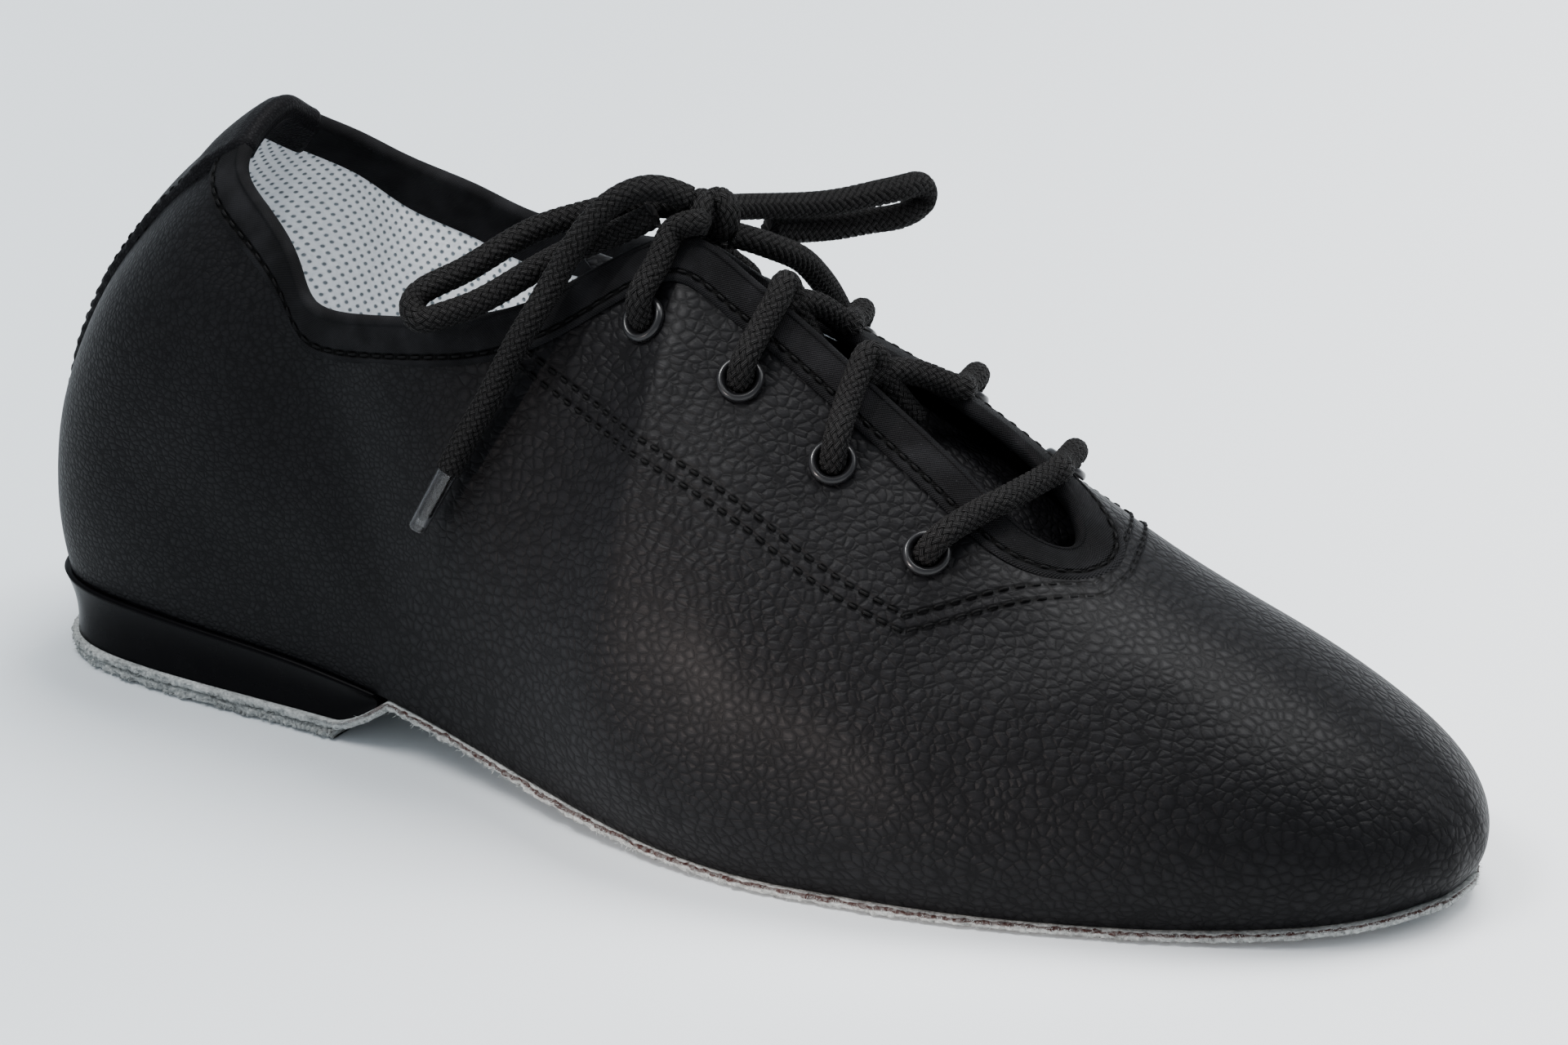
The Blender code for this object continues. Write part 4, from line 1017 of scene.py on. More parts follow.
def tape_profile(u, width, lift, throat, seam, pitch):
    """Points across the folded tape, from its outer edge over the rim to the inner one,
    sunk along its seam and puckered by every stitch."""
    rim, away, normal = rim_frame(u)
    beat = np.cos(2 * math.pi * run_along(rim) / pitch)
    rows, across = [], []
    outer = 0.00025 + lift
    puff = 0.00014
    for share in np.linspace(0, 1, 20)[:-1]:
        depth = width * (1 - share)
        swell = puff * math.sin(math.pi * min(1.0, share * 1.15 + 0.02))**0.6
        sink = -0.0004 * max(0.0, 1 - share * 14)
        off = (width * share - seam) / 0.0008
        sewn = math.exp(-off * off) * (0.00010 * beat - 0.00016)
        rows.append(skin(u, level_below(u, depth), outer + TAPE + swell + sink + sewn))
        across.append(width * share)
    radius = (WALL + 2 * TAPE + outer) / 2 + 0.0001
    centre = rim + normal * (outer - WALL) / 2 - away * 0.0004
    for angle in np.linspace(math.pi / 2, -math.pi / 2, 11):
        rows.append(centre + normal * math.sin(angle) * radius + away * math.cos(angle) * radius)
        across.append(width + radius * (math.pi / 2 - angle))
    top = across[-1]
    for share in np.linspace(0, 1, 12)[1:]:
        depth = (width + 0.001 + throat * 0.009) * share
        rows.append(skin(u, level_below(u, depth), -WALL - TAPE - 0.0001 * (1 - share)))
        across.append(top + (width + 0.001) * share)
    return np.array(rows), np.array(across)


def build_tape(settings):
    """Edge tape folded over the collar and the throat."""
    u = even_columns(1500)
    share = spline(range(ROUND), STATIONS, u, ROUND)[:, 1] / SOLE_LENGTH
    throat = np.clip((share - 0.45) / 0.05, 0, 1)
    points, across = tape_profile(u, BINDING_WIDTH, 0.0001, throat, settings.tape_seam * MM,
                                  settings.stitch_pitch * MM)
    run = across[:, None] / MM + np.zeros(len(u))
    attributes = {"throat": np.broadcast_to(throat, points.shape[:2])}
    tape = surface("edge_tape", shifted(points), make_tape("black_tape", settings),
                   uv=closed_uv(points, run), wrap=True, attributes=attributes)
    seated(tape, "black_tape", "collar_binding")


def build_backstay(settings):
    """Leather strip up the back seam and over the collar."""
    across = np.linspace(-1, 1, 41)
    rows = []
    shoulder = 1 - np.clip((np.abs(across) - 0.90) / 0.10, 0, 1)**2
    ridge = 0.00012 * np.exp(-((np.abs(across) - STAY_SEAM) / 0.06)**2)
    puckered = np.exp(-((np.abs(across) - 0.97) / 0.1)**2)
    stitches = 33
    for level in np.linspace(0.0, 0.985, 90):
        over = 0.0005 * np.clip((level - 0.84) / 0.06, 0, 1)
        u = beside_back_seam(level, across * (STAY_HALF * (1 - STAY_TAPER * level)))
        pucker = 0.00022 * np.sin(level * 2 * math.pi * stitches) * puckered
        wave = pucker + 0.0001 * np.sin(level * 41 + across * 3)
        out = (STAY_THICKNESS + over + 0.0003) * shoulder + ridge + wave
        rows.append(skin(u, np.full_like(u, level), out))
    rim, away, normal = rim_frame(u)
    radius = 0.0017
    centre = rim + normal * (-0.0004) - away * 0.0002
    for angle in np.linspace(math.pi / 2, -math.pi / 2, 15):
        bulge = radius * (0.55 + 0.45 * shoulder)
        rows.append(centre + (normal * math.sin(angle) + away * math.cos(angle)) * bulge[:, None])
    for depth in np.linspace(0.0006, 0.0085, 12):
        rows.append(skin(u, level_below(u, depth), -WALL - 0.0004 - STAY_THICKNESS * 0.9 * shoulder))
    leather = make_leather("backstay_leather", settings, grain=1.7, shine=0.6, tint=1.4)
    stay = surface("backstay_strip", shifted(np.array(rows)), leather)
    seated(stay, "backstay_leather", "backstay")


def build_tongue(settings):
    """Thin leather tongue under the throat, rolled a little along its middle."""
    collar_end, throat_end = 0.492, 0.742
    share = np.linspace(collar_end, TONGUE_FRONT, 60)
    across = np.linspace(-1, 1, 61)
    v = (across[:, None] + 1) / 2
    top_rows = []
    for s in share:
        throat = min(s, throat_end)
        pair = [station_at(throat, False), station_at(throat, True)]
        ends = [skin_point(u, level_below([u], 0.019)[0], -WALL - 3 * GAP) for u in pair]
        middle = skin([pair], [[1.0, 1.0]])[0].mean(0) - np.array([0, 0, TONGUE_DROP])
        control = 2 * middle - (ends[0] + ends[1]) / 2
        forward = np.array([1, 0, -0.62]) * (s - throat) * SOLE_LENGTH
        line = (1 - v)**2 * ends[0] + 2 * (1 - v) * v * control + v * v * ends[1] + forward
        fold = 0.0006 * np.exp(-((across + 0.25) / 0.12)**2)
        fold -= 0.0005 * np.exp(-((across - 0.1) / 0.1)**2)
        line[:, 2] += fold * (1 - abs(s - 0.62) * 3)
        top_rows.append(line)
    lead = unit((top_rows[0] - top_rows[2]) * np.array([1, 1, 0.35]))
    reach = (collar_end - TONGUE_BACK) * SOLE_LENGTH
    first = top_rows[0]
    free = []
    for step in np.linspace(0, 1, 26)[1:]:
        rounded = 1 - 0.55 * np.abs(across[:, None])**2.5 * step
        pull = np.array([1, 1 - 0.30 * step, 1])
        free.append(first * pull + lead * reach * step * rounded)
    rows = np.array(free[::-1] + top_rows)
    normal = unit(np.cross(np.gradient(rows, axis=0), np.gradient(rows, axis=1)))
    normal *= np.sign(normal[..., 2:3].mean())
    thick = TONGUE_THICKNESS
    lip = []
    for a in np.linspace(math.pi, 0.3, 6):
        inner = rows[:1] - normal[:1] * thick * (1 - math.cos(a)) / 2
        lip.append(inner + (rows[:1] - rows[1:2]) * math.sin(a) * 0.9)
    points = np.concatenate([(rows - normal * thick)[::-1]] + lip + [rows])
    leather = make_leather("tongue_leather", settings, grain=1.2)
    tongue = surface("tongue_leather_piece", shifted(points), leather)
    seated(tongue, "tongue_leather", "tongue")


def sole_top(x):
    """Upper side of the sole sheet: flat under the heel, then up the breast."""
    share = x / SOLE_LENGTH
    under_heel = LIFT_THICKNESS + GAP + SOLE_THICKNESS
    free = seat(x) - GAP
    climb = np.clip((share - BREAST_LOW) / (BREAST_HIGH - BREAST_LOW), 0, 1)
    return under_heel + (free - under_heel) * climb**1.6


def frayed(count, seed, scale):
    """A rough periodic line of given length for torn edges."""
    rng = np.random.default_rng(seed)
    line = rng.normal(size=count)
    for width in (3, 8, 24):
        thrice = np.tile(rng.normal(size=count), 3)
        line = line + 1.6 * np.convolve(thrice, np.ones(width) / width, "same")[count:2 * count]
    return line / np.abs(line).max() * scale


def sheet(name, x, lip, low, high, material, seed, fray):
    """A closed sheet following the sole's outline with a torn edge."""
    half = half_breadths(np.clip(x, 0, SOLE_LENGTH)) + lip
    outer = np.column_stack([x, -half[:, 0]])
    inner = np.column_stack([x, half[:, 1]])
    centre = (outer + inner) / 2
    both_centres = np.vstack([centre, centre[::-1]])
    ends = (x - SOLE_LENGTH / 2) / (SOLE_LENGTH / 2) * lip
    both_ends = np.concatenate([ends, ends[::-1]])
    count = 2 * len(x)
    rings, edge_mask = [], []
    for index, (reach, level) in enumerate(SHEET_PROFILE):
        ring = np.vstack([centre + (outer - centre) * reach, (centre + (inner - centre) * reach)[::-1]])
        out = unit(ring - both_centres + 1e-9)
        rough = frayed(count, seed + index, fray) * (0.9 <= reach)
        xs = ring[:, 0] + both_ends * reach + out[:, 0] * rough
        ys = ring[:, 1] + out[:, 1] * rough
        z = low(ring[:, 0]) * (1 - level) + high(ring[:, 0]) * level
        z = z + frayed(count, seed + 31 + index, fray * 0.35) * (0.9 <= reach) * (0 < level < 1)
        rings.append(np.column_stack([xs, ys, np.maximum(z, 0)]))
        edge_mask.append(np.full(count, level if reach > 0.98 else 0.0))
    attributes = {"edge": np.array(edge_mask)}
    return surface(name, shifted(np.array(rings)), material, wrap=True, attributes=attributes)


def underside(x):
    """Lower side of the sole sheet at points round it, as thick on a slope as on the flat."""
    half = x[:len(x) // 2]
    rise = np.clip(np.gradient(sole_top(half), half), -2, 2)
    drop = SOLE_THICKNESS * np.sqrt(1 + np.concatenate([rise, rise[::-1]])**2)
    tread = (x / SOLE_LENGTH > TREAD_START) & (x / SOLE_LENGTH < TREAD_END)
    return np.maximum(sole_top(x) - np.where(tread, SOLE_THICKNESS, drop), 0)


def build_sole():
    """Suede sheet, second layer under the heel and the rubber block between."""
    suede = make_suede("grey_suede")
    torn = 0.0009
    x = SOLE_LENGTH * eased(620)
    full = sheet("suede_sheet", x, LIP - 0.0002, underside, sole_top, suede, 3, torn)
    seated(full, "grey_suede", "outsole")
    first = 0.001
    x = first + (BREAST_LOW * SOLE_LENGTH - first) * eased(240)
    top = partial(np.full_like, fill_value=LIFT_THICKNESS)
    lift = sheet("suede_heel_layer", x, 0.0003, np.zeros_like, top, suede, 9, torn)
    seated(lift, "grey_suede", "heel_lift")
    build_heel_block()


def build_heel_block():
    """Rubber block with a slightly hollow side, thinning to its breast."""
    x = (BREAST_HIGH - 0.012) * SOLE_LENGTH * eased(200)
    half = half_breadths(np.clip(x, 0, SOLE_LENGTH))
    rows = []
    for level in np.linspace(0, 1, 14):
        lip = -0.0002 + 0.0014 * level**2.2 - 0.0004 * math.sin(math.pi * level)
        outer = np.column_stack([x, -half[:, 0] - lip])
        inner = np.column_stack([x, half[:, 1] + lip])[::-1]
        ring = np.vstack([outer, inner])
        ring[:, 0] -= lip * np.clip(1 - ring[:, 0] / 0.01, 0, 1)
        low = sole_top(ring[:, 0]) + 0.0001
        high = np.maximum(seat(ring[:, 0]) - 0.0001, low + 0.0002)
        rows.append(np.column_stack([ring, low * (1 - level) + high * level]))
    top = rows[-1]
    closing = [top * (1, reach, 1) for reach in (0.95, 0.5, 0.0)]
    rubber = make_plain("black_rubber", (0.0008, 0.0007, 0.0010), 0.26, bumps=0.00003, scale=240.0,
                        Specular_IOR_Level=0.5, IOR=1.10)
    block = surface("heel_block", shifted(np.array(rows + closing)), rubber, wrap=True)
    seated(block, "black_rubber", "heel")


def facing(middle, axis):
    """Matrix that stands a piece made round Z on the wall."""
    turn = Vector(axis).to_track_quat("Z", "Y").to_matrix().to_4x4()
    return Matrix.Translation(Vector(shifted(middle))) @ turn


def build_eyelets():
    """Enamelled rings with their tubes through the wall."""
    enamel = make_plain("black_enamel", (0.004, 0.004, 0.0045), 0.30, scale=600.0, IOR=1.3,
                        Coat_Weight=0.15, Coat_Roughness=0.16)
    turn = np.linspace(0, 2 * math.pi, 72, endpoint=False)
    rings = [[(r * math.cos(a), r * math.sin(a), z + 0.0002) for a in turn] for r, z in EYELET_PROFILE]
    for name, middle, axis in eyelet_seats():
        matrix = np.array(facing(middle, axis))
        world = np.array(rings) @ matrix[:3, :3].T + matrix[:3, 3]
        seated(surface(name + "_ring", world, enamel, wrap=True), "black_metal", name)


def frames_along(points):
    """Two steady cross directions for each point of a path."""
    tangent = unit(np.gradient(points, axis=0))
    side = np.zeros_like(points)
    start = np.array([0.0, 0.0, 1.0]) if abs(tangent[0, 2]) < 0.9 else np.array([1.0, 0.0, 0.0])
    side[0] = unit(np.cross(tangent[0], start))
    for k in range(1, len(points)):
        previous = side[k - 1]
        side[k] = unit(previous - tangent[k] * np.dot(previous, tangent[k]))
    return side, np.cross(tangent, side)


def braid_height(run, around):
    """Relief of the braid, from 0 in the valleys to 1 on a carrier's back."""
    first = around * CARRIERS + run / CARRIER_PITCH
    second = around * CARRIERS - run / CARRIER_PITCH
    over = np.mod(np.floor(first) + np.floor(second), 2.0)
    rib = np.abs(np.mod(np.where(over > 0.5, first, second), 1.0) - 0.5) * 2
    return 1 - rib**2


def cord_mesh(name, points, radius, material, start_run=0.0, braid=0.00040, taper=True):
    """A braided round cord along a smooth path, with closed ends."""
    side, lift = frames_along(points)
    run = start_run + run_along(points) / MM
    turn = np.linspace(0, 1, 44, endpoint=False)
    height = braid_height(run[:, None], turn[None])
    reach = radius + braid * (height - 0.8)
    if taper:
        k = np.minimum(np.arange(len(points)), np.arange(len(points))[::-1])
        reach = reach * np.clip(0.35 + k / 3 * 0.65, 0.35, 1)[:, None]
    angle = turn * 2 * math.pi
    spokes = np.cos(angle)[:, None] * side[:, None] + np.sin(angle)[:, None] * lift[:, None]
    rings = points[:, None] + reach[..., None] * spokes
    caps = [np.repeat(points[k][None, None], len(turn), 1) for k in (0, -1)]
    runs_up = np.concatenate([run[:1], run, run[-1:]])
    uv = np.stack(np.broadcast_arrays(runs_up[:, None], np.linspace(0, 1, len(turn) + 1)), -1)
    grid = np.concatenate([caps[0], rings, caps[1]])
    return surface(name, shifted(grid), material, uv=uv, wrap=True)


def lace_start(middle, axis, towards):
    """First points of a lace, from inside its eyelet and leaning to the throat."""
    lean = towards - middle
    lean = unit(lean - axis * np.dot(lean, axis))
    radius = LACE / 2
    clear_of_ring = middle + axis * (0.0006 + radius * 0.95) + lean * radius * 0.75
    return [middle - axis * 0.0022, middle + axis * 0.0003, clear_of_ring]


def row_arms():
    """Routes of the lace in every row, outer and inner, up to the throat, and the
    places on the two edges that they climb over."""
    seats = {name: (middle, axis) for name, middle, axis in eyelet_seats()}
    arms, edges = {}, {}
    for side, shares in LACE_OVER.items():
        for number, share in enumerate(shares, 1):
            middle, axis = seats[f"eyelet_{side}_{number}"]
            over = station_at(share, side == "inner")
            clear = LACE / 2 + LACE_CLEAR[side]
            u, t = nearest_on_skin([middle])[0]
            near = [skin_point(u + (over - u) * s, t + (1 - t) * s, clear) for s in (0.62, 0.88)]
            rim = skin_point(over, 1.0, clear)
            arms[number, side] = lace_start(middle, axis, near[0]) + near + [rim]
            edges[number, side] = skin_point(over, 1.0)
    return arms, edges


def laid_lace(name, route, finish, start_run=0.0, taper=True):
    """A lace along a smooth curve through its route."""
    points = smooth_route(route, LACE_STEP)
    return cord_mesh(name, points, LACE / 2, finish, start_run, taper=taper), points


def build_lacing():
    """Rows of lace through the eyelets."""
    braid = make_lace_finish("black_braid")
    arms, edges = row_arms()
    for side in ("outer", "inner"):
        lace, _ = laid_lace(f"top_lace_{side}", arms[1, side] + [np.array(TOP_ENDS[side]) * MM], braid)
        seated(lace, "black_lace", f"lace_top_{side}")
    last = len(EYELET_ROWS["outer"])
    for number in range(2, last + 1):
        outer, inner = arms[number, "outer"], arms[number, "inner"]
        start, end = edges[number, "outer"], edges[number, "inner"]
        if number == last:
            way = inner[-1] - outer[-1]
            straight = [outer[-1] + way * share for share in (0.12, 0.35, 0.6, 0.88)]
            lace, _ = laid_lace("bar_lace", outer + straight + inner[::-1], braid)
        else:
            near, far = ([start + (end - start) * share + np.array([0, 0, rise]) for share, rise in way]
                         for way in (CROSSING_UNDER, CROSSING_OVER))
            first, _ = laid_lace("first", outer + near, braid)
            second, _ = laid_lace("second", inner + far, braid, 3.0)
            lace = merged(f"crossing_lace_{number}", [first, second])
        seated(lace, "black_lace", f"lace_row_{number}")


def build_knot(braid):
    """Two wraps round the middle of the bow, and the lace inside them."""
    radius = LACE / 2
    centre = np.array(KNOT) * MM
    turn = np.linspace(0, 2 * math.pi, 90)
    axis = unit(np.array([0.50, 0.80, -0.22]))
    tall = np.array([0.15, 0.18, 0.97])
    tall = unit(tall - axis * np.dot(tall, axis))
    wide = np.cross(axis, tall)
    strands = []
    for offset, height, width, lean in KNOT_WRAPS:
        path = (centre + axis * offset + np.outer(np.cos(turn), tall) * height
                + np.outer(np.sin(turn), wide) * width + np.outer(np.sin(turn), axis) * lean)
        strands.append(cord_mesh("wrap", path, radius * 0.94, braid, taper=False))
    core = np.array([centre - axis * 0.0042, centre, centre + axis * 0.0040])
    strands.append(cord_mesh("core", smooth_route(core, LACE_STEP), radius * 1.05, braid))
    seated(merged("bow_knot", strands), "black_lace", "knot")


def build_bow():
    """Knot, two loops and two free ends with their clear tips."""
    braid = bpy.data.materials["black_braid"]
    plastic = make_plain("clear_tip", (0.80, 0.80, 0.82), 0.10, scale=500.0,
                         Transmission_Weight=1.0, IOR=1.33)
    build_knot(braid)
    for name, route in (("loop_outer", LOOP_OUTER), ("loop_inner", LOOP_INNER)):
        loop, points = laid_lace("bow_" + name, np.array(route) * MM, braid, taper=False)
        seated(loop, "black_lace", name)
    overlap = 0.0006
    for name, route in (("outer", END_OUTER), ("inner", END_INNER)):
        end, points = laid_lace("free_end_" + name, np.array(route) * MM, braid, taper=False)
        seated(end, "black_lace", "end_" + name)
        way = unit(points[-1] - points[-2])
        start = points[-1] - way * overlap
        tip = start + np.linspace(0, 1, 30)[:, None] * way * (AGLET_LENGTH + overlap)
        sleeve = aglet_mesh("tip_" + name, tip, plastic)
        core = cord_mesh("tip_core_" + name, tip[:-4], 0.00125, braid, braid=0.0001)
        seated(core, "black_lace")
        seated(sleeve, "clear_tip", "aglet_" + name)


def aglet_mesh(name, points, material):
    """A clear sleeve pressed slightly flat, open at its tip."""
    side, lift = frames_along(points)
    angle = np.linspace(0, 2 * math.pi, 32, endpoint=False)
    share = np.linspace(0, 1, len(points))
    wide = AGLET_RADIUS * (1.12 - 0.12 * share)
    thin = AGLET_RADIUS * (1.05 - 0.12 * share)

    spokes = (wide[:, None, None] * np.cos(angle)[:, None] * side[:, None]
              + thin[:, None, None] * np.sin(angle)[:, None] * lift[:, None])
    outside = points[:, None] + spokes
    inside = (points[:, None] + 0.88 * spokes)[::-1]
    return surface(name, shifted(np.concatenate([outside, inside, outside[:1]])), material, wrap=True)


def scatter_group():
    """Geometry nodes that stand a small piece on every point, turned by its attributes."""
    tree = bpy.data.node_groups.new("stand_on_points", "GeometryNodeTree")
    face = tree.interface
    face.new_socket("Points", in_out="INPUT", socket_type="NodeSocketGeometry")
    face.new_socket("Piece", in_out="INPUT", socket_type="NodeSocketObject")
    face.new_socket("Size variation", in_out="INPUT", socket_type="NodeSocketFloat")
    face.new_socket("Seed", in_out="INPUT", socket_type="NodeSocketInt")
    face.new_socket("Material", in_out="INPUT", socket_type="NodeSocketMaterial")
    face.new_socket("Geometry", in_out="OUTPUT", socket_type="NodeSocketGeometry")
    nodes, links = tree.nodes, tree.links
    start, end = nodes.new("NodeGroupInput"), nodes.new("NodeGroupOutput")
    along, out = (nodes.new("GeometryNodeInputNamedAttribute") for _ in range(2))
    for node, label in ((along, "along"), (out, "out")):
        node.data_type = "FLOAT_VECTOR"
        node.inputs["Name"].default_value = label
    turn = nodes.new("FunctionNodeAxesToRotation")
    turn.primary_axis, turn.secondary_axis = "Z", "X"
    links.new(out.outputs["Attribute"], turn.inputs["Primary Axis"])
    links.new(along.outputs["Attribute"], turn.inputs["Secondary Axis"])
    info = nodes.new("GeometryNodeObjectInfo")
    links.new(start.outputs["Piece"], info.inputs["Object"])
    chance = nodes.new("FunctionNodeRandomValue")
    chance.data_type = "FLOAT"
    spread = nodes.new("ShaderNodeMath")
    spread.operation = "SUBTRACT"
    spread.inputs[0].default_value = 1.0
    links.new(start.outputs["Size variation"], spread.inputs[1])
    links.new(spread.outputs[0], chance.inputs[2])
    chance.inputs[3].default_value = 1.0
    links.new(start.outputs["Seed"], chance.inputs["Seed"])
    stand = nodes.new("GeometryNodeInstanceOnPoints")
    links.new(start.outputs["Points"], stand.inputs["Points"])
    links.new(info.outputs["Geometry"], stand.inputs["Instance"])
    links.new(turn.outputs["Rotation"], stand.inputs["Rotation"])
    links.new(chance.outputs[1], stand.inputs["Scale"])
    real = nodes.new("GeometryNodeRealizeInstances")
    paint = nodes.new("GeometryNodeSetMaterial")
    links.new(stand.outputs["Instances"], real.inputs["Geometry"])
    links.new(real.outputs["Geometry"], paint.inputs["Geometry"])
    links.new(start.outputs["Material"], paint.inputs["Material"])
    links.new(paint.outputs["Geometry"], end.inputs["Geometry"])
    return tree


def scattered(name, points, along, out, piece, material, variation=0.0, seed=1):
    """Stand a piece on points by the scatter group and make the result plain mesh."""
    tree = bpy.data.node_groups.get("stand_on_points") or scatter_group()
    mesh = bpy.data.meshes.new(name + "_points")
    mesh.from_pydata(np.asarray(points).tolist(), [], [])
    for label, values in (("along", along), ("out", out)):
        layer = mesh.attributes.new(label, "FLOAT_VECTOR", "POINT")
        layer.data.foreach_set("vector", np.asarray(values).ravel())
    base = link(bpy.data.objects.new(name, mesh))
    modifier = base.modifiers.new("stand", "NODES")
    modifier.node_group = tree
    values = {"Piece": piece, "Size variation": variation, "Seed": seed, "Material": material}
    for item in tree.interface.items_tree:
        if item.in_out == "INPUT" and item.name in values:
            modifier[item.identifier] = values[item.name]
    graph = bpy.context.evaluated_depsgraph_get()
    graph.update()
    real = bpy.data.meshes.new_from_object(base.evaluated_get(graph))
    base.modifiers.clear()
    base.data = real
    real.name = name
    real.shade_smooth()
    return base


def stitch_piece(length, radius, thread):
    """One stitch: a short thread that dives at both ends."""
    share = np.linspace(-1, 1, 13)
    points = np.column_stack([share * length / 2, share * 0, radius * (0.75 - 2.4 * share**4)])
    thin = np.sqrt(np.clip(1 - share**6, 0.12, 1))
    angle = np.linspace(0, 2 * math.pi, 8, endpoint=False)
    ring = np.stack([np.zeros_like(angle), np.cos(angle), np.sin(angle)], 1)
    grid = points[:, None] + ring[None] * radius * thin[:, None, None]
    return surface("one_stitch", grid, thread, wrap=True)


def stitch_row(place, offset, lift, pitch):
    """Points, directions along and out for a row of stitches beside a line on the skin."""
    line = skin(*place.T)
    normal = unit(skin(*place.T, 0.001) - line)
    tangent = unit(np.gradient(line, axis=0))
    side = np.cross(normal, tangent)
    row = line + side * offset
    run = run_along(row)
    at = np.arange(pitch / 2, run[-1] - pitch / 2, pitch)
    return [np.column_stack([np.interp(at, run, values[:, k]) for k in range(3)])
            for values in (row + normal * lift, tangent, normal)]


def build_stitches(settings):
    """Seams of the eyestay, the tape and the backstay, stitch by stitch."""
    thread = make_plain("thread", (0.0007, 0.0007, 0.0008), 0.55, scale=3000.0, IOR=1.15)
    pitch = settings.stitch_pitch * MM
    seam = seam_line()
    rows = [stitch_row(seam, s * SEAM_SPACING * MM / 2, 0.00005, pitch) for s in (-1, 1)]
    u = np.append(even_columns(900), ROUND)
    depth = level_below(np.mod(u, ROUND), BINDING_WIDTH - settings.tape_seam * MM)
    rows.append(stitch_row(np.column_stack([u, depth]), 0.0, 0.00062, pitch))
    for way in (-1, 1):
        place = []
        for level in np.linspace(0.03, 0.985, 160):
            reach = STAY_HALF * (1 - STAY_TAPER * level) * STAY_SEAM
            place.append((beside_back_seam(level, way * reach), level))
        rows.append(stitch_row(np.array(place), 0.0, 0.0011, pitch))
    piece = stitch_piece(pitch * 0.82, 0.00026, thread)
    points, along, out = (np.vstack(column) for column in zip(*rows))
    stitches = scattered("seam_stitches", shifted(points), along, out, piece, thread, 0.08, 4)
    bpy.data.objects.remove(piece)
    seated(stitches, "black_tape")


def build_fibres(settings):
    """Loose fibres along the torn edges of the suede."""
    rng = np.random.default_rng(11)
    share = np.linspace(-1, 1, 5)
    points = np.column_stack([share * 0, 0.0001 * share**2, (share + 1) * 0.00048])
    angle = np.linspace(0, 2 * math.pi, 3, endpoint=False)
    ring = np.stack([np.cos(angle), np.sin(angle), np.zeros_like(angle)], 1)
    grid = points[:, None] + ring[None] * 0.00005 * (1.15 - 0.55 * (share + 1))[:, None, None]
    fibre_finish = make_plain("suede_fibre", (0.40, 0.42, 0.41), 0.9, scale=700.0)
    fibre = surface("one_fibre", grid, fibre_finish, wrap=True)
    count = settings.fibres
    run = rng.uniform(0, PERIMETER, count)
    edge = edge_at(run)
    ahead = edge_at(np.mod(run + 0.0005, PERIMETER))
    along = unit(np.column_stack([ahead - edge, np.zeros(count)]))
    out = np.column_stack([along[:, 1], -along[:, 0], np.zeros(count)])
    top = sole_top(edge[:, 0])
    level = rng.uniform(0.05, 0.95, count)
    z = np.maximum(top - SOLE_THICKNESS * (1 - level), 0.0002)
    under = (edge[:, 0] < BREAST_LOW * SOLE_LENGTH) & (rng.uniform(size=count) < 0.5)
    z = np.where(under, level * LIFT_THICKNESS, z)
    start = np.column_stack([edge, z]) + out * LIP * 0.9
    lean = rng.normal(0, 0.55, (count, 3))
    lean[:, 2] = rng.normal(-0.1, 0.4, count)
    aim = unit(out + lean)
    aim[:, 2] = np.maximum(aim[:, 2], -start[:, 2] / 0.001)
    side = unit(np.cross(aim, along + rng.normal(0, 0.3, (count, 3))))
    hairs = scattered("suede_fibres", shifted(start), side, aim, fibre, fibre_finish, 0.75, 6)
    bpy.data.objects.remove(fibre)
    seated(hairs, "grey_suede")


def build_paper():
    """Pale sweep under and behind the shoe, with painted shade making it a little darker on the left. Its
    wall gives light only, so that a camera behind it still sees the shoe."""
    front, foot, radius = -3.0, 0.9, 1.2
    turn = np.linspace(0, 1, 40)[1:] * math.pi / 2
    y = np.concatenate([np.linspace(front, foot, 12), foot + radius * np.sin(turn)])
    z = np.concatenate([np.zeros(12), radius * (1 - np.cos(turn))])
    view = math.radians(CAMERA["azimuth"])
    away = np.array([-math.sin(view), math.cos(view), 0.0])
    right = np.array([math.cos(view), math.sin(view), 0.0])
    wide = np.linspace(-3.5, 3.5, 12)
    points = (y[:, None, None] * away + wide[None, :, None] * right + np.array([0, 0, -0.0004])
              + z[:, None, None] * np.array([0, 0, 1.0]))
    paper = Finish("paper", Roughness=0.75, Specular_IOR_Level=0.2)
    x, y, _ = paper.parts(paper.place())
    # Painted shade: the sweep's colour darkens towards the left and towards the back
    level = x * right[0] + y * right[1] - (x * away[0] + y * away[1]) * 0.25
    tone = level.soft(-0.10, 0.42)
    paper.feed("Base Color", paper.mix(tone, (0.60, 0.64, 0.665), (0.94, 0.945, 0.95)))
    low_rows = 29               # the floor and the curve's start, below a view from behind
    surface("sweep", points[:low_rows], paper.material)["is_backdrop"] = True
    wall = surface("sweep_wall", points[low_rows - 1:], paper.material)
    wall.visible_camera = False
    wall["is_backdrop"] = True


def from_angles(azimuth, elevation):
    """Unit vector back to a place seen from the shoe under two angles in degrees."""
    a, e = math.radians(azimuth), math.radians(elevation)
    return Vector((math.sin(a) * math.cos(e), -math.cos(a) * math.cos(e), math.sin(e)))


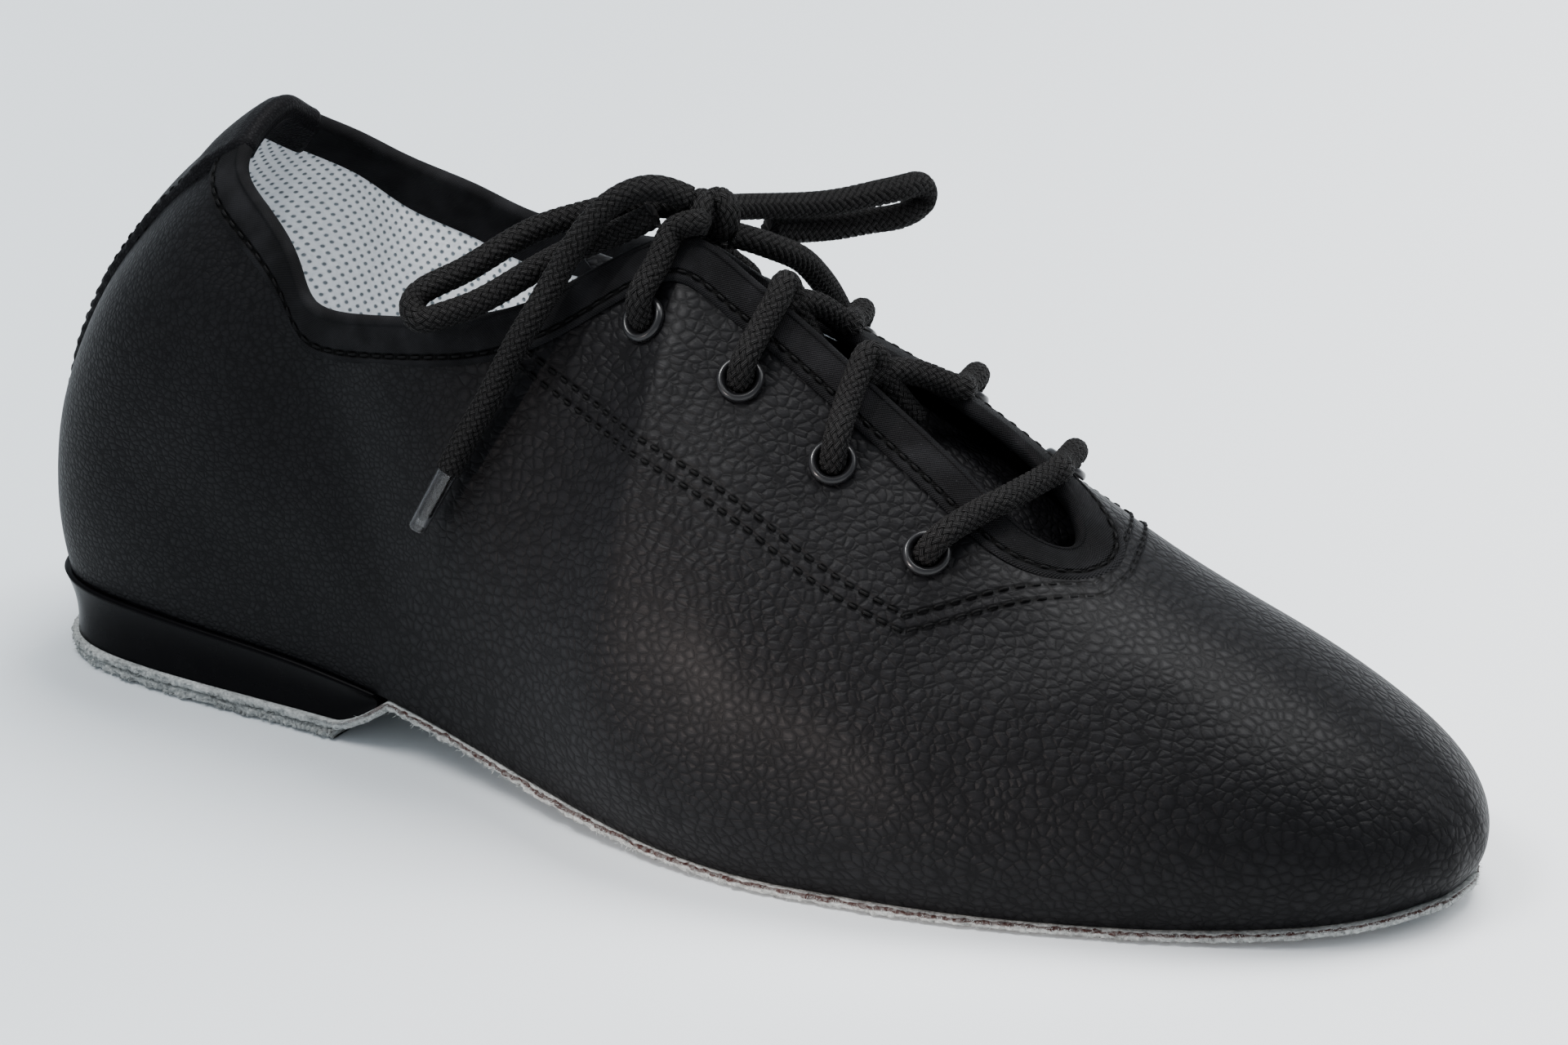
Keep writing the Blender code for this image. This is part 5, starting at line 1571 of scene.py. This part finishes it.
def stand_light(data, power, location, way):
    """Put a light on the stage, facing a way."""
    data.energy = power
    holder = link(bpy.data.objects.new(data.name, data))
    holder.location = location
    holder.rotation_euler = way.to_track_quat("-Z", "Y").to_euler()
    holder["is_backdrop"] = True


def build_lights(settings):
    """Soft lamps, narrow beams and the pale surroundings."""
    for name, size, share, azimuth, elevation, distance in LAMPS:
        data = bpy.data.lights.new(name, "AREA")
        data.shape = "RECTANGLE"
        data.size, data.size_y = size
        back = from_angles(azimuth, elevation)
        stand_light(data, settings.key_power * share, Vector(CAMERA["aim"]) + back * distance, -back)
    for name, setting, share, target, way, cone, colour in BEAMS:
        data = bpy.data.lights.new(name, "SPOT")
        data.color = colour
        data.spot_size = math.radians(cone)
        data.spot_blend = 1.0
        data.shadow_soft_size = BEAM_RADIUS
        location = Vector(target) + Vector(way).normalized() * BEAM_DISTANCE
        stand_light(data, getattr(settings, setting) * share, location, Vector(target) - location)
    world = bpy.data.worlds.new("studio")
    world.use_nodes = True
    surroundings = world.node_tree.nodes["Background"].inputs
    surroundings["Color"].default_value = (0.86, 0.92, 1.0, 1)
    surroundings["Strength"].default_value = settings.fill
    bpy.context.scene.world = world


def build_camera():
    """The camera of the photo."""
    a, roll = math.radians(CAMERA["azimuth"]), math.radians(CAMERA["roll"])
    back = from_angles(CAMERA["azimuth"], CAMERA["elevation"])
    level = Vector((math.cos(a), math.sin(a), 0))
    up = back.cross(level)
    right_axis = level * math.cos(roll) + up * math.sin(roll)
    up_axis = up * math.cos(roll) - level * math.sin(roll)
    data = bpy.data.cameras.new("camera")
    data.lens, data.sensor_width = CAMERA["lens"], 36.0
    data.clip_start, data.clip_end = 0.05, 20.0
    camera = link(bpy.data.objects.new("camera", data))
    spin = Matrix((right_axis, up_axis, back)).transposed().to_4x4()
    camera.matrix_world = Matrix.Translation(Vector(CAMERA["aim"]) + back * CAMERA["distance"]) @ spin
    bpy.context.scene.camera = camera


class ShoeSettings(bpy.types.PropertyGroup):
    """Looks that can be changed before building."""
    columns: bpy.props.IntProperty(name="Columns", description="Mesh columns round the upper", default=760)
    rows: bpy.props.IntProperty(name="Rows", description="Mesh rows up the upper", default=110)
    grain_per_metre: bpy.props.FloatProperty(
        name="Grain", description="Pebbles of the leather in a metre", default=620.0)
    grain_depth: bpy.props.FloatProperty(
        name="Grain depth", description="Height of the leather's pebbles", default=0.00019, unit="LENGTH")
    leather_ior: bpy.props.FloatProperty(
        name="Leather shine", description="Refractive index of the leather's finish", default=1.12)
    stitch_pitch: bpy.props.FloatProperty(
        name="Stitch pitch", description="Length of one stitch in millimetres", default=2.7)
    tape_seam: bpy.props.FloatProperty(
        name="Tape seam", description="Millimetres from the tape's edge to its seam", default=1.7)
    fibres: bpy.props.IntProperty(
        name="Fibres", description="Loose fibres on the suede's edge", default=5200)
    key_power: bpy.props.FloatProperty(
        name="Key light", description="Overhead light", default=36.0, unit="POWER")
    collar_light: bpy.props.FloatProperty(
        name="Collar light", description="Narrow light on the lining", default=34.0, unit="POWER")
    ball_light: bpy.props.FloatProperty(
        name="Ball light", description="Warm narrow light on the ball", default=120.0, unit="POWER")
    fill: bpy.props.FloatProperty(name="Fill", description="Strength of the surroundings", default=0.92)


class Builder:
    """Shared behaviour of the operators: build from the scene's settings."""
    bl_options = {"REGISTER", "UNDO"}

    def execute(self, context):
        self.build(context.scene.jazz_shoe)
        return {"FINISHED"}


class SHOE_OT_upper(Builder, bpy.types.Operator):
    """Build the leather upper, its lining and its insole"""
    bl_idname = "shoe.upper"
    bl_label = "Upper"

    def build(self, settings):
        build_upper(settings)
        build_lining()


class SHOE_OT_trim(Builder, bpy.types.Operator):
    """Build the edge tape, the backstay and the tongue"""
    bl_idname = "shoe.trim"
    bl_label = "Tape, backstay and tongue"

    def build(self, settings):
        build_tape(settings)
        build_backstay(settings)
        build_tongue(settings)


class SHOE_OT_sole(Builder, bpy.types.Operator):
    """Build the suede sole, the heel and their loose fibres"""
    bl_idname = "shoe.sole"
    bl_label = "Sole and heel"

    def build(self, settings):
        build_sole()
        build_fibres(settings)


class SHOE_OT_eyelets(Builder, bpy.types.Operator):
    """Build the eight eyelets"""
    bl_idname = "shoe.eyelets"
    bl_label = "Eyelets"

    def build(self, settings):
        build_eyelets()


class SHOE_OT_laces(Builder, bpy.types.Operator):
    """Build the lacing, the bow and the free ends"""
    bl_idname = "shoe.laces"
    bl_label = "Laces"

    def build(self, settings):
        build_lacing()
        build_bow()


class SHOE_OT_stitches(Builder, bpy.types.Operator):
    """Build every visible stitch"""
    bl_idname = "shoe.stitches"
    bl_label = "Stitches"

    def build(self, settings):
        build_stitches(settings)


class SHOE_OT_stage(Builder, bpy.types.Operator):
    """Build the sweep, the lights and the camera"""
    bl_idname = "shoe.stage"
    bl_label = "Stage"

    def build(self, settings):
        build_paper()
        build_lights(settings)
        build_camera()


class SHOE_PT_panel(bpy.types.Panel):
    """Settings and build buttons of the shoe"""
    bl_idname = "SHOE_PT_panel"
    bl_label = "Jazz Shoe"
    bl_space_type = "VIEW_3D"
    bl_region_type = "UI"
    bl_category = "Jazz Shoe"

    def draw(self, context):
        for name in ShoeSettings.__annotations__:
            self.layout.prop(context.scene.jazz_shoe, name)
        for operator in OPERATORS:
            self.layout.operator(operator.bl_idname)


OPERATORS = (SHOE_OT_upper, SHOE_OT_trim, SHOE_OT_sole, SHOE_OT_eyelets, SHOE_OT_laces,
             SHOE_OT_stitches, SHOE_OT_stage)
CLASSES = (ShoeSettings,) + OPERATORS + (SHOE_PT_panel,)


def register():
    for item in CLASSES:
        bpy.utils.register_class(item)
    bpy.types.Scene.jazz_shoe = bpy.props.PointerProperty(type=ShoeSettings)


def unregister():
    del bpy.types.Scene.jazz_shoe
    for item in reversed(CLASSES):
        bpy.utils.unregister_class(item)


def corners():
    """Lowest and highest corner of everything, as plain lists."""
    return [list(corner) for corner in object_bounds()]


def main():
    register()
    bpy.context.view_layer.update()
    bpy.ops.shoe.upper()
    bpy.ops.shoe.trim()
    bpy.ops.shoe.sole()
    bpy.ops.shoe.eyelets()
    bpy.ops.shoe.laces()
    bpy.ops.shoe.stitches()
    bpy.ops.shoe.stage()


if __name__ == "__main__":
    main()
